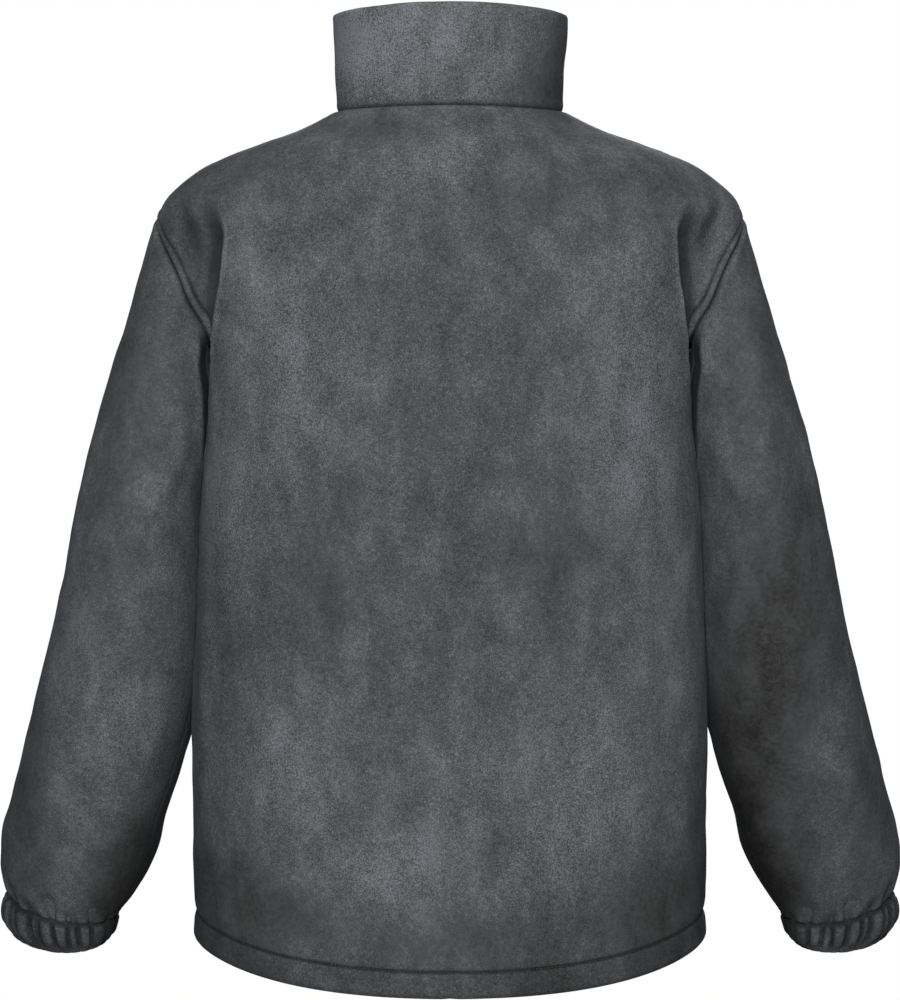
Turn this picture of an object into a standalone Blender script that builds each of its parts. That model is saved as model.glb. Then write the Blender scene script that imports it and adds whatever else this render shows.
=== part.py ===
"""Fleece zip jacket, filled out as when it is worn, with no wearer inside.

Frame: metres, +Z up, the front faces -Y and the wearer's left is +X. The origin is the middle of the neck
opening, level with the two points where the shoulder seams meet the collar.

Every cloth piece is a wall of real thickness over a surface that is worked out from a table of sections.
The torso's sections are rings round the body, the sleeve's are rings round the arm. The panels are cut out
of those surfaces along the seams, and meet there edge to edge with a small gap.
"""

import math

import bpy
import mathutils
import numpy as np

# ---- Cloth and seams ----
FLEECE = 0.0025  # one layer of fleece
COLLAR_CLOTH = 2 * FLEECE  # outer and inner collar, sewn back to back
HEM_CLOTH = 2 * FLEECE  # the hem is turned up inside, as far as its stitching
CUFF_CLOTH = 2 * FLEECE  # the same round the cuff's elastic
SEAM_GAP = 0.0003
MITRE_LIMIT = 2.2  # longest seam mitre, in wall thicknesses
NUDGE = 1e-4  # step of the slopes that give a surface's normals

# ---- Torso ----
# One row for each ring round the body, from the hem up to the collar seam.
# side: the ring's widest point; back and front: its middle points.
TORSO_COLUMNS = ("side_x", "side_z", "back_y", "back_z", "front_y", "front_z")
TORSO = {
    "hem_edge": (0.2126, -0.6770, 0.1315, -0.6985, -0.1290, -0.6900),
    "hem_stitch": (0.2122, -0.6560, 0.1330, -0.6785, -0.1305, -0.6690),
    "hem_top": (0.2126, -0.6380, 0.1340, -0.6580, -0.1310, -0.6490),
    "hip": (0.2125, -0.5900, 0.1340, -0.6000, -0.1320, -0.5950),
    "waist": (0.2122, -0.5000, 0.1330, -0.5050, -0.1340, -0.5020),
    "ribs": (0.2080, -0.4000, 0.1330, -0.4000, -0.1370, -0.4000),
    "chest": (0.2048, -0.3200, 0.1325, -0.3200, -0.1395, -0.3200),
    "underarm": (0.2017, -0.2850, 0.1322, -0.2850, -0.1400, -0.2860),
    "armhole_low": (0.1990, -0.2450, 0.1318, -0.2450, -0.1395, -0.2480),
    "armhole_crease": (0.2000, -0.2100, 0.1311, -0.2080, -0.1384, -0.2150),
    "armhole_mid": (0.2095, -0.1820, 0.1297, -0.1800, -0.1367, -0.1890),
    "armhole_high": (0.2280, -0.1500, 0.1263, -0.1480, -0.1335, -0.1620),
    "shoulder_drop": (0.2365, -0.1150, 0.1200, -0.1130, -0.1279, -0.1340),
    "shoulder": (0.2386, -0.0850, 0.1122, -0.0832, -0.1208, -0.1120),
    "shoulder_round": (0.2332, -0.0726, 0.1086, -0.0720, -0.1173, -0.1040),
    "slope_low": (0.2205, -0.0594, 0.1036, -0.0588, -0.1126, -0.0950),
    "slope_mid": (0.2040, -0.0469, 0.0972, -0.0463, -0.1066, -0.0855),
    "slope": (0.1794, -0.0350, 0.0900, -0.0343, -0.0992, -0.0760),
    "slope_high": (0.1547, -0.0260, 0.0828, -0.0248, -0.0915, -0.0675),
    "neck_side": (0.1221, -0.0148, 0.0740, -0.0128, -0.0832, -0.0590),
    "neck": (0.0922, 0.0000, 0.0640, 0.0022, -0.0740, -0.0500),
}
# The collar stands on the neck ring and flares near its folded top edge.
COLLAR = {
    "seam": TORSO["neck"],
    "stand": (0.0927, 0.0190, 0.0655, 0.0210, -0.0765, -0.0320),
    "middle": (0.0932, 0.0390, 0.0680, 0.0410, -0.0795, -0.0130),
    "flare": (0.0947, 0.0590, 0.0710, 0.0610, -0.0820, 0.0070),
    "top": (0.0957, 0.0748, 0.0735, 0.0782, -0.0840, 0.0225),
}
# How far the armhole seam lies behind and in front of the side line, in degrees round the ring.
# way: from the shoulder (0) to the underarm (1), as the cosine of the height.
ARMHOLE_COLUMNS = ("way", "back_deg", "front_deg")
ARMHOLE = (
    (0.000, 0.0, 0.0),
    (0.167, 9.0, 9.0),
    (0.333, 19.5, 20.0),
    (0.500, 16.0, 20.0),
    (0.667, 9.0, 14.0),
    (0.833, 5.5, 8.0),
    (1.000, 0.0, 0.0),
)
FRONT_EDGE_X = 0.005  # each front stops this far from the centre line, beside the zip teeth

# ---- Sleeve (the wearer's left; the right one is its mirror image) ----
# outer and inner: the ring's two ends seen from the front.
# back_drop: how much lower the back of the ring lies.
SLEEVE_COLUMNS = ("outer_x", "outer_z", "inner_x", "inner_z", "mid_y", "half_depth", "back_drop")
SLEEVE = {
    "cap": (0.2540, -0.1330, 0.2034, -0.2935, -0.0020, 0.0500, 0.0),
    "cap_low": (0.2690, -0.1805, 0.2050, -0.3050, -0.0080, 0.0600, 0.0),
    "bicep_top": (0.2844, -0.2288, 0.2062, -0.3210, -0.0140, 0.0670, 0.0),
    "bicep": (0.2977, -0.2735, 0.2070, -0.3460, -0.0190, 0.0700, 0.0),
    "upper": (0.3085, -0.3180, 0.2082, -0.3740, -0.0220, 0.0700, 0.0),
    "elbow_top": (0.3192, -0.3679, 0.2090, -0.4080, -0.0265, 0.0680, 0.001),
    "elbow": (0.3290, -0.4130, 0.2105, -0.4460, -0.0310, 0.0645, 0.002),
    "forearm_top": (0.3430, -0.4650, 0.2145, -0.4950, -0.0370, 0.0590, 0.004),
    "forearm": (0.3588, -0.5220, 0.2275, -0.5440, -0.0450, 0.0530, 0.007),
    "blouse_top": (0.3709, -0.5680, 0.2430, -0.5870, -0.0530, 0.0500, 0.009),
    "blouse": (0.3810, -0.5990, 0.2488, -0.6150, -0.0600, 0.0480, 0.010),
    "blouse_low": (0.3842, -0.6240, 0.2592, -0.6390, -0.0650, 0.0460, 0.011),
    "gather": (0.3832, -0.6440, 0.2732, -0.6605, -0.0680, 0.0420, 0.011),
    "cuff_seam": (0.3776, -0.6565, 0.2856, -0.6755, -0.0700, 0.0370, 0.011),
}
CUFF = {
    "seam": SLEEVE["cuff_seam"],
    "top": (0.3802, -0.6610, 0.2864, -0.6795, -0.0710, 0.0375, 0.011),
    "middle": (0.3822, -0.6760, 0.2896, -0.6910, -0.0730, 0.0380, 0.010),
    "end": (0.3778, -0.6890, 0.2938, -0.6990, -0.0750, 0.0355, 0.009),
}

# ---- Folds, all in metres ----
# A vertical fold hangs from the shoulder blade and laps over the armhole. crest_x is its place at height z.
DRAPE_CREST = {"z": (-0.2350, -0.2000, -0.1760, -0.1300, -0.0860),
               "back_x": (0.1965, 0.1930, 0.1885, 0.1840, 0.1800),
               "front_x": (0.1930, 0.1850, 0.1790, 0.1740, 0.1700)}
DRAPE_HEIGHT = {"back": 0.0060, "front": 0.0040}
DRAPE_HOLLOW = {"back": 0.0080, "front": 0.0045}
DRAPE_SOFT_SIDE, DRAPE_SHARP_SIDE, DRAPE_HOLLOW_WIDTH = 0.030, 0.007, 0.026
DRAPE_TOP_Z, DRAPE_FULL_Z = -0.070, -0.115
DRAPE_FADE_Z, DRAPE_END_Z = -0.200, -0.285
DRAPE_SIDE_Y, DRAPE_BACK_Y = 0.012, 0.045  # it is flat this near the side line, and whole this far round

# Long soft folds that fall down the torso. angle_deg: round the ring from the middle of the back.
TORSO_FOLD_COLUMNS = ("angle_deg", "lean_deg", "top_z", "bottom_z", "width", "height")
TORSO_FOLDS = (
    (22.0, 4.0, -0.160, -0.520, 0.026, 0.0022),
    (-18.0, -6.0, -0.120, -0.480, 0.024, 0.0020),
    (44.0, -5.0, -0.330, -0.640, 0.030, 0.0030),
    (-46.0, 5.0, -0.300, -0.640, 0.030, 0.0030),
    (4.0, 2.0, -0.380, -0.660, 0.030, 0.0022),
    (72.0, -4.0, -0.340, -0.600, 0.022, 0.0028),
    (-70.0, 4.0, -0.360, -0.620, 0.022, 0.0028),
    (118.0, 4.0, -0.330, -0.620, 0.026, 0.0030),
    (-121.0, -4.0, -0.300, -0.600, 0.026, 0.0030),
    (150.0, -3.0, -0.240, -0.560, 0.026, 0.0022),
    (-147.0, 3.0, -0.260, -0.580, 0.026, 0.0022),
)
HEM_STITCH_DEPTH, HEM_STITCH_WIDTH = 0.0014, 0.0045
HEM_DROOP, HEM_DROOP_REACH = 0.0030, 0.060  # the hem sags between the middle and the sides

# Creases of the sleeve. turn: place round the sleeve, 0 outside, 0.25 back, 0.5 inside, 0.75 front.
SLEEVE_FOLD_COLUMNS = ("turn", "twist", "top_z", "bottom_z", "width", "height")
SLEEVE_FOLDS = (
    (0.075, 0.02, -0.170, -0.420, 0.010, 0.0030),
    (0.930, -0.02, -0.180, -0.430, 0.011, 0.0030),
    (0.400, -0.16, -0.230, -0.370, 0.014, 0.0035),
    (0.620, 0.14, -0.240, -0.380, 0.014, 0.0035),
    (0.300, 0.08, -0.420, -0.560, 0.016, 0.0030),
    (0.700, -0.10, -0.400, -0.540, 0.016, 0.0045),
    (0.560, 0.10, -0.440, -0.580, 0.016, 0.0035),
    (0.180, -0.06, -0.500, -0.640, 0.018, 0.0028),
)
PUCKERS, PUCKER_HEIGHT, PUCKER_REACH = 9, 0.0024, 0.040
GATHERS, GATHER_HEIGHT = 18, 0.0021

# ---- Zip ----
TAPE_WIDTH, TAPE_THICK, TAPE_DEPTH = 0.0140, 0.0008, 0.0029
TAPE_GAP_X = 0.0002  # half of the gap between the two tapes
CHAIN_HALF_WIDTH, CHAIN_THICK = 0.0028, 0.0020
SLIDER_WIDTH, SLIDER_LENGTH, SLIDER_PLATE = 0.0086, 0.0130, 0.0012
SLIDER_FRONT, SLIDER_BACK = 0.0010, 0.0052
SLIDER_TOP_Z = 0.0180
BRIDGE_HALF_X, BRIDGE_LENGTH = 0.0011, 0.0040
EYE_WIDTH, EYE_LENGTH, EYE_HEIGHT, EYE_BAR = 0.0016, 0.0070, 0.0034, 0.0011
PULL_BAR_RADIUS, PULL_ARM_X, PULL_ARM_WIDTH = 0.0006, 0.0021, 0.0012
PULL_ARM_LENGTH, PULL_LENGTH, PULL_WIDTH, PULL_THICK = 0.0055, 0.0270, 0.0070, 0.0014
BOX_WIDTH, BOX_HEIGHT, BOX_PROUD = 0.0086, 0.0100, 0.0006

# ---- How finely each surface is divided ----
ARM_STEPS = 18  # steps down one side of the armhole; the sleeve has twice as many columns
HEM_ROWS, BODY_ROWS = 3, 8  # above the armhole a row lies on each section of the table
# Columns of a panel: shares of the way from its middle to the drape fold, then from the fold to its edge.
BACK_COLUMNS, BACK_SIDE_COLUMNS = (0.0, 0.2, 0.4, 0.58, 0.74, 0.87, 1.0), (0.25, 0.50, 0.75, 1.0)
FRONT_COLUMNS, FRONT_SIDE_COLUMNS = (0.0, 0.22, 0.42, 0.60, 0.76, 0.88, 1.0), (0.33, 0.67, 1.0)
FOLD_SHARE_HEM, FOLD_SHARE_NECK = 0.84, 0.50  # where the fold's column runs past the fold's two ends
SLEEVE_NEAR_ROWS, SLEEVE_ROWS = (0.0, 0.006, 0.014, 0.025), 15  # close together at the armhole, then even
CUFF_ROWS, COLLAR_ROWS, CUFF_COLUMNS = 4, 6, 64
PULL_BAR_SIDES, PULL_END_SIDES = 10, 8


# ---------------------------------------------------------------- curves and surfaces
def hermite(knots, rows, at):
    """The smooth curve through every row of a table, read at any place along its knots.

    Each slope is the mean of the slopes on both sides, weighted by nearness. rows is either a plain table,
    or one with a value for each place that is asked for.
    """
    knots, rows, at = np.asarray(knots), np.asarray(rows, float), np.asarray(at, float)
    spare = (1,) * (rows.ndim - 1)
    step = np.diff(knots).reshape(-1, *spare)
    slope = np.diff(rows, axis=0) / step
    near = step[:-1] / (step[:-1] + step[1:])
    tangent = np.concatenate([slope[:1], (1 - near) * slope[:-1] + near * slope[1:], slope[-1:]])
    index = np.clip(np.searchsorted(knots, at, side="right") - 1, 0, len(knots) - 2)
    width = (knots[index + 1] - knots[index])[..., None]
    t = (at - knots[index])[..., None] / width

    def pick(table, i):
        if table.ndim == 2:
            return table[i]
        return np.take_along_axis(table, i[None, ..., None], axis=0)[0]

    near_value = pick(rows, index) * (2 * t**3 - 3 * t**2 + 1)
    far_value = pick(rows, index + 1) * (3 * t**2 - 2 * t**3)
    near_slope = pick(tangent, index) * width * (t**3 - 2 * t**2 + t)
    far_slope = pick(tangent, index + 1) * width * (t**3 - t**2)
    return near_value + far_value + near_slope + far_slope


def unit(vectors):
    return vectors / np.maximum(np.linalg.norm(vectors, axis=-1, keepdims=True), 1e-12)


def normals(surface, a, b):
    """Unit normals of surface(a, b), which point out of the garment on every surface here."""
    along_a = surface(a + NUDGE, b) - surface(a - NUDGE, b)
    along_b = surface(a, b + NUDGE) - surface(a, b - NUDGE)
    return unit(np.cross(along_b, along_a))


def raised(surface, relief):
    """The surface moved out along its normals by relief(a, b, points)."""

    def moved(a, b):
        points = surface(a, b)
        return points + normals(surface, a, b) * relief(a, b, points)[..., None]

    return moved


def bump(distance, width):
    return np.exp(-((distance / width) ** 2))


def ramp(value, start, end):
    """0 at start, 1 at end, smooth in between."""
    t = np.clip((value - start) / (end - start), 0, 1)
    return t * t * (3 - 2 * t)


def way_knots(table, x_column, z_column):
    """Distance along a table's side line, which numbers its sections."""
    side = np.array([[row[x_column], row[z_column]] for row in table.values()])
    return np.concatenate([[0], np.cumsum(np.linalg.norm(np.diff(side, axis=0), axis=1))])


# ---------------------------------------------------------------- torso and collar
TORSO_KNOTS = way_knots(TORSO, 0, 1)
TORSO_LEVEL = dict(zip(TORSO, TORSO_KNOTS))
COLLAR_KNOTS = way_knots(COLLAR, 0, 1)


def ring_surface(table, knots, droop=0.0):
    """Rings round the body: surface(angle, level), with the angle from the middle of the back towards +X.

    The lowest rings sag by droop halfway between their middle and side points.
    """
    rows = np.array(list(table.values()))

    def surface(angle, level):
        side_x, side_z, back_y, back_z, front_y, front_z = np.moveaxis(hermite(knots, rows, level), -1, 0)
        across, along = np.sin(angle), np.cos(angle)
        behind = along > 0
        y = along * np.where(behind, back_y, -front_y)
        z = side_z + (np.where(behind, back_z, front_z) - side_z) * along**2
        sag = droop * (2 * across * along) ** 2 * np.exp(-((level / HEM_DROOP_REACH) ** 2))
        return np.stack([side_x * across, y, z - sag], axis=-1)

    return surface


def drape_fold(points):
    """The fold that hangs from each shoulder blade: a soft rise, then a steep drop to a hollow by the arm."""
    x, y, z = np.abs(points[..., 0]), points[..., 1], points[..., 2]
    shown = ramp(z, DRAPE_TOP_Z, DRAPE_FULL_Z) * ramp(z, DRAPE_END_Z, DRAPE_FADE_Z)
    shown = shown * ramp(np.abs(y), DRAPE_SIDE_Y, DRAPE_BACK_Y)
    total = np.zeros_like(x)
    for side, faces in (("back", y > 0), ("front", y <= 0)):
        past = x - np.interp(z, DRAPE_CREST["z"], DRAPE_CREST[side + "_x"])
        height, hollow = DRAPE_HEIGHT[side], DRAPE_HOLLOW[side]
        inside = height * bump(past, DRAPE_SOFT_SIDE)
        outside = (height + hollow) * bump(past, DRAPE_SHARP_SIDE) - hollow * bump(past, DRAPE_HOLLOW_WIDTH)
        total = total + np.where(faces, np.where(past < 0, inside, outside), 0)
    return total * shown


def torso_relief(angle, level, points):
    z = points[..., 2]
    total = drape_fold(points)
    radius = np.hypot(points[..., 0], points[..., 1])
    for angle_deg, lean_deg, top_z, bottom_z, width, height in TORSO_FOLDS:
        down = np.clip((z - top_z) / (bottom_z - top_z), 0, 1)
        place = np.radians(angle_deg + lean_deg * down)
        apart = (angle - place + math.pi) % (2 * math.pi) - math.pi
        total = total + height * np.sin(math.pi * down) ** 2 * bump(apart * radius, width)
    return total - HEM_STITCH_DEPTH * bump(level - TORSO_LEVEL["hem_stitch"], HEM_STITCH_WIDTH)


torso = raised(ring_surface(TORSO, TORSO_KNOTS, HEM_DROOP), torso_relief)
collar = ring_surface(COLLAR, COLLAR_KNOTS)


def arm_level(way):
    """Level of the armhole seam from the shoulder (0) to the underarm (1), closer together at both ends."""
    share = (1 - np.cos(np.pi * way)) / 2
    return TORSO_LEVEL["shoulder"] + (TORSO_LEVEL["underarm"] - TORSO_LEVEL["shoulder"]) * share


def seam_angle(way, side):
    """Angle round the torso of the armhole seam, on the back or on the front."""
    table = np.array(ARMHOLE)
    turned = np.radians(hermite(table[:, 0], table[:, 1:], np.asarray(way)))
    return math.pi / 2 - turned[..., 0] if side == "back" else math.pi / 2 + turned[..., 1]


def armhole(turn):
    """The armhole seam. turn: 0 at the shoulder, 0.25 down the back, 0.5 underarm, 0.75 up the front."""
    turn = np.mod(turn, 1.0)
    way = np.where(turn <= 0.5, 2 * turn, 2 - 2 * turn)
    angle = np.where(turn <= 0.5, seam_angle(way, "back"), seam_angle(way, "front"))
    return torso(angle, arm_level(way))


# ---------------------------------------------------------------- sleeve and cuff
def arm_ring(row, turn):
    """One ring of a sleeve table: an ellipse between its outer and inner ends, whose back may drop."""
    outer_x, outer_z, inner_x, inner_z, mid_y, half_depth, back_drop = row
    out, back = np.cos(2 * np.pi * turn), np.sin(2 * np.pi * turn)
    x = (outer_x + inner_x) / 2 + (outer_x - inner_x) / 2 * out
    z = (outer_z + inner_z) / 2 + (outer_z - inner_z) / 2 * out - back_drop * back
    return np.stack([x, mid_y + half_depth * back, z], axis=-1)


def centre_knots(rings):
    """Distance along the line through the middles of the rings."""
    middles = [ring.mean(axis=0) for ring in rings]
    steps = [np.linalg.norm(b - a) for a, b in zip(middles, middles[1:])]
    return np.concatenate([[0], np.cumsum(steps)])


ROUND = np.linspace(0, 1, 2 * ARM_STEPS, endpoint=False)
SLEEVE_KNOTS = centre_knots([armhole(ROUND)] + [arm_ring(row, ROUND) for row in SLEEVE.values()])
CUFF_KNOTS = centre_knots([arm_ring(row, ROUND) for row in CUFF.values()])


def sleeve_base(turn, way):
    rings = [armhole(turn)] + [arm_ring(row, turn) for row in SLEEVE.values()]
    return hermite(SLEEVE_KNOTS, np.stack(rings), way)


def cuff_base(turn, way):
    return hermite(CUFF_KNOTS, np.stack([arm_ring(row, turn) for row in CUFF.values()]), way)


def sleeve_relief(turn, way, points):
    """Creases that fade at both ends and at the armhole, and puckers that run up from the elastic."""
    z = points[..., 2]
    total = np.zeros_like(z)
    girth = 0.38
    for place, twist, top_z, bottom_z, width, height in SLEEVE_FOLDS:
        down = np.clip((z - top_z) / (bottom_z - top_z), 0, 1)
        apart = (turn - place - twist * down + 0.5) % 1.0 - 0.5
        total = total + height * np.sin(math.pi * down) ** 2 * bump(apart * girth, width)
    total = total * ramp(way, 0, 0.025)
    end = SLEEVE_KNOTS[-1]
    near_cuff = ramp(way, end - PUCKER_REACH, end - 0.3 * PUCKER_REACH)
    near_cuff = near_cuff * ramp(way, end, end - 0.2 * PUCKER_REACH)
    phase = 2 * np.pi * (PUCKERS * turn + 0.10 * np.sin(2 * np.pi * 2 * turn))
    return total + PUCKER_HEIGHT * near_cuff * np.cos(phase)


def cuff_relief(turn, way, points):
    """The elastic's gathers, uneven in width. They end at the seam and fade towards the edge."""
    phase = 2 * np.pi * (GATHERS * turn + 0.16 * np.sin(2 * np.pi * 3 * turn))
    return GATHER_HEIGHT * ramp(way, 0, 0.006) * (1 - 0.5 * way / CUFF_KNOTS[-1]) * np.cos(phase)


sleeve = raised(sleeve_base, sleeve_relief)
cuff = raised(cuff_base, cuff_relief)


# ---------------------------------------------------------------- walls
def seam_offset(own, other):
    """Direction, and length in wall thicknesses, from the outer to the inner edge at a seam of two pieces."""
    middle = unit(own + other)
    stretch = np.minimum(1 / np.maximum(np.sum(middle * own, axis=-1), 1e-3), MITRE_LIMIT)
    return middle, stretch


def edge_shift(points, up, closed):
    """Moves an edge back by half a seam gap, into its own piece. up: the seam's way out of the cloth."""
    following = np.roll(points, -1, axis=0) - points
    across = unit(np.cross(following, up + np.roll(up, -1, axis=0)))
    if not closed:
        across[-1] = across[-2]
    before = np.roll(across, 1, axis=0)
    if not closed:
        before[0] = across[0]
    share = np.maximum(1 + np.sum(before * across, axis=-1, keepdims=True), 0.3)
    return SEAM_GAP / 2 * (before + across) / share


def shifted_panel(outer, inner, up):
    """A panel with all of its edge moved in. up holds the seam directions, of which only the edge is used."""
    rows, columns = outer.shape[:2]
    loop = [(0, c) for c in range(columns)] + [(r, columns - 1) for r in range(1, rows)]
    loop += [(rows - 1, c) for c in range(columns - 2, -1, -1)] + [(r, 0) for r in range(rows - 2, 0, -1)]
    r, c = np.array(loop).T
    shift = edge_shift(outer[r, c], up[r, c], closed=True)
    outer[r, c] += shift
    inner[r, c] += shift
    return outer, inner


def shifted_tube(outer, inner, up):
    """A tube with its first and its last ring moved in."""
    for row, direction in ((0, 1), (-1, -1)):
        shift = direction * edge_shift(outer[row], up[row], closed=True)
        outer[row] += shift
        inner[row] += shift
    return outer, inner


def folded_edge(outer, inner, beyond):
    """The rounded edge of cloth that is turned over: a row halfway between both skins, pushed out."""
    thickness = np.linalg.norm(outer - inner, axis=-1, keepdims=True)
    return (outer + inner) / 2 + unit(beyond) * thickness / 2


def wall(name, outer, inner, material, tube=False, folded=(), mirrored=False):
    """A closed solid between an outer and an inner grid of points, as an object of that name."""
    loop = list(outer)
    if "end" in folded:
        loop.append(folded_edge(outer[-1], inner[-1], outer[-1] - outer[-2]))
    loop += list(inner[::-1])
    if "start" in folded:
        loop.append(folded_edge(outer[0], inner[0], outer[0] - outer[1]))
    rows, columns = len(loop), outer.shape[1]
    points = np.concatenate(loop)
    if mirrored:
        points = points * (-1, 1, 1)

    def at(row, column):
        return (row % rows) * columns + column % columns

    steps = range(columns if tube else columns - 1)
    faces = [(at(r, c), at(r + 1, c), at(r + 1, c + 1), at(r, c + 1))
             for r in range(rows) for c in steps]
    if not tube:
        count = len(outer)
        turned = 2 * count if "end" in folded else 2 * count - 1
        for column, order in ((0, 1), (columns - 1, -1)):
            cap = [(at(r, column), at(turned - r, column),
                    at(turned - r - 1, column), at(r + 1, column)) for r in range(count - 1)]
            if "end" in folded:
                cap.append((at(count - 1, column), at(count + 1, column), at(count, column)))
            if "start" in folded:
                cap.append((at(0, column), at(rows - 1, column), at(rows - 2, column)))
            faces += [face[::order] for face in cap]
    faces = [triangle for face in faces for triangle in split(points, face)]
    if mirrored:
        faces = [face[::-1] for face in faces]
    return mesh_object(name, points, faces, material)


def split(points, face):
    """A face as triangles. A quad is split along its shorter diagonal, so that both sides of a seam agree."""
    if len(face) == 3:
        return [face]
    a, b, c, d = face
    if np.linalg.norm(points[a] - points[c]) <= np.linalg.norm(points[b] - points[d]):
        return [(a, b, c), (a, c, d)]
    return [(a, b, d), (b, c, d)]


def mesh_object(name, points, faces, material, smooth=True):
    mesh = bpy.data.meshes.new(name)
    mesh.from_pydata([tuple(p) for p in points], [], faces)
    mesh.materials.append(material)
    if smooth:
        mesh.shade_smooth()
        mesh.set_sharp_from_angle(angle=math.radians(50))
    obj = bpy.data.objects.new(name, mesh)
    bpy.context.scene.collection.objects.link(obj)
    return obj


# ---------------------------------------------------------------- panels
def torso_levels():
    """The rows of every torso panel, from the hem to the neck, and the armhole's first and last row."""
    level = TORSO_LEVEL
    stitch, below = level["hem_stitch"], level["hem_stitch"] - HEM_STITCH_WIDTH
    hem = list(np.linspace(0, below, HEM_ROWS - 1)) + [stitch, stitch + HEM_STITCH_WIDTH]
    body = np.linspace(level["hem_top"], level["underarm"], BODY_ROWS, endpoint=False)
    arm = arm_level(np.linspace(1, 0, ARM_STEPS + 1))
    shoulder = TORSO_KNOTS[TORSO_KNOTS > level["shoulder"]]
    first = len(hem) + len(body)
    return np.concatenate([hem, body, arm, shoulder]), first, first + ARM_STEPS


def torso_edge(side):
    """Angle of the panel's outer edge at each row: the side seam, the armhole, then the shoulder seam.

    It is counted from the middle of the back, or for the fronts from the middle of the front.
    """
    levels, first, last = torso_levels()
    edge = np.full(len(levels), math.pi / 2)
    edge[first:last + 1] = seam_angle(np.linspace(1, 0, ARM_STEPS + 1), side)
    return edge if side == "back" else np.where(edge == math.pi / 2, edge, math.pi - edge)


def fold_angle(side):
    """Angle of the drape fold's crest at each row, which is where a column of the panel runs."""
    levels, first, last = torso_levels()
    edge = torso_edge(side)
    rings = dict(zip(TORSO_COLUMNS, hermite(TORSO_KNOTS, np.array(list(TORSO.values())), levels).T))
    side_x, height = rings["side_x"], rings[side + "_z"]
    crest = np.interp(height, DRAPE_CREST["z"], DRAPE_CREST[side + "_x"])
    share = np.arcsin(np.minimum(crest / side_x, 0.999)) / edge
    share = np.clip(share, FOLD_SHARE_NECK, 0.93)
    share[:first] = np.linspace(FOLD_SHARE_HEM, share[first], first, endpoint=False)
    share[last:] = np.linspace(share[last], FOLD_SHARE_NECK, len(levels) - last)
    return share * edge


def torso_panel(angles, arm_columns, arm_turns):
    """Outer grid, inner grid and seam directions of a panel whose rows are the torso's levels."""
    levels, first, last = torso_levels()
    grid_levels = np.broadcast_to(levels[:, None], angles.shape)
    outer = torso(angles, grid_levels)
    up = normals(torso, angles, grid_levels)
    stretch = np.ones(angles.shape)
    for column, turns in zip(arm_columns, arm_turns):
        sleeve_up = normals(sleeve, turns, np.zeros_like(turns))
        if column == "mirror":
            column, sleeve_up = 0, sleeve_up * (-1, 1, 1)
        rows = slice(first, last + 1)
        up[rows, column], stretch[rows, column] = seam_offset(up[rows, column], sleeve_up)
    collar_up = normals(collar, angles[-1], np.zeros(angles.shape[1]))
    up[-1], stretch[-1] = seam_offset(up[-1], collar_up)
    cloth = np.where(levels < TORSO_LEVEL["hem_stitch"] + 1e-6, HEM_CLOTH, FLEECE)
    inner = outer - up * (cloth[:, None] * stretch)[..., None]
    return outer, inner, up


def back_panel(material):
    crest, edge = fold_angle("back")[:, None], torso_edge("back")[:, None]
    half = np.hstack([crest * BACK_COLUMNS, crest + (edge - crest) * BACK_SIDE_COLUMNS])
    angles = np.hstack([-half[:, :0:-1], half])
    turns = np.linspace(0.5, 0, ARM_STEPS + 1)
    outer, inner, up = torso_panel(angles, ("mirror", angles.shape[1] - 1), (turns, turns))
    outer, inner = shifted_panel(outer, inner, up)
    return wall("back", outer, inner, material, folded=("start",))


def front_angles():
    """Columns of the left front, from its side, armhole or shoulder seam round to its edge beside the zip.

    The last column but one lies just beyond the zip's tape, so that the tape lies under a narrow, flat strip.
    """
    crest, edge = fold_angle("front")[:, None], torso_edge("front")[:, None]
    side_x = hermite(TORSO_KNOTS, np.array(list(TORSO.values())), torso_levels()[0])[:, :1]
    near_tape, near_zip = np.arcsin((TAPE_WIDTH + 0.002) / side_x), np.arcsin(FRONT_EDGE_X / side_x)
    middle = near_tape + (crest - near_tape) * FRONT_COLUMNS
    beside_arm = crest + (edge - crest) * FRONT_SIDE_COLUMNS
    return math.pi - np.hstack([near_zip, middle, beside_arm])[:, ::-1]


def front_panel(name, material, mirrored):
    turns = np.linspace(0.5, 1.0, ARM_STEPS + 1)
    outer, inner, up = torso_panel(front_angles(), (0,), (turns,))
    outer, inner = shifted_panel(outer, inner, up)
    return wall(name, outer, inner, material, folded=("start",), mirrored=mirrored)


def sleeve_tube(name, material, mirrored):
    even = np.linspace(SLEEVE_NEAR_ROWS[-1], SLEEVE_KNOTS[-1], SLEEVE_ROWS)
    turn, way = np.meshgrid(ROUND, np.concatenate([SLEEVE_NEAR_ROWS[:-1], even]))
    outer, up = sleeve(turn, way), normals(sleeve, turn, way)
    stretch = np.ones(turn.shape)
    way_down = np.where(ROUND <= 0.5, 2 * ROUND, 2 - 2 * ROUND)
    angle = np.where(ROUND <= 0.5, seam_angle(way_down, "back"), seam_angle(way_down, "front"))
    up[0], stretch[0] = seam_offset(up[0], normals(torso, angle, arm_level(way_down)))
    inner = outer - up * (FLEECE * stretch)[..., None]
    outer, inner = shifted_tube(outer, inner, up)
    return wall(name, outer, inner, material, tube=True, mirrored=mirrored)


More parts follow.
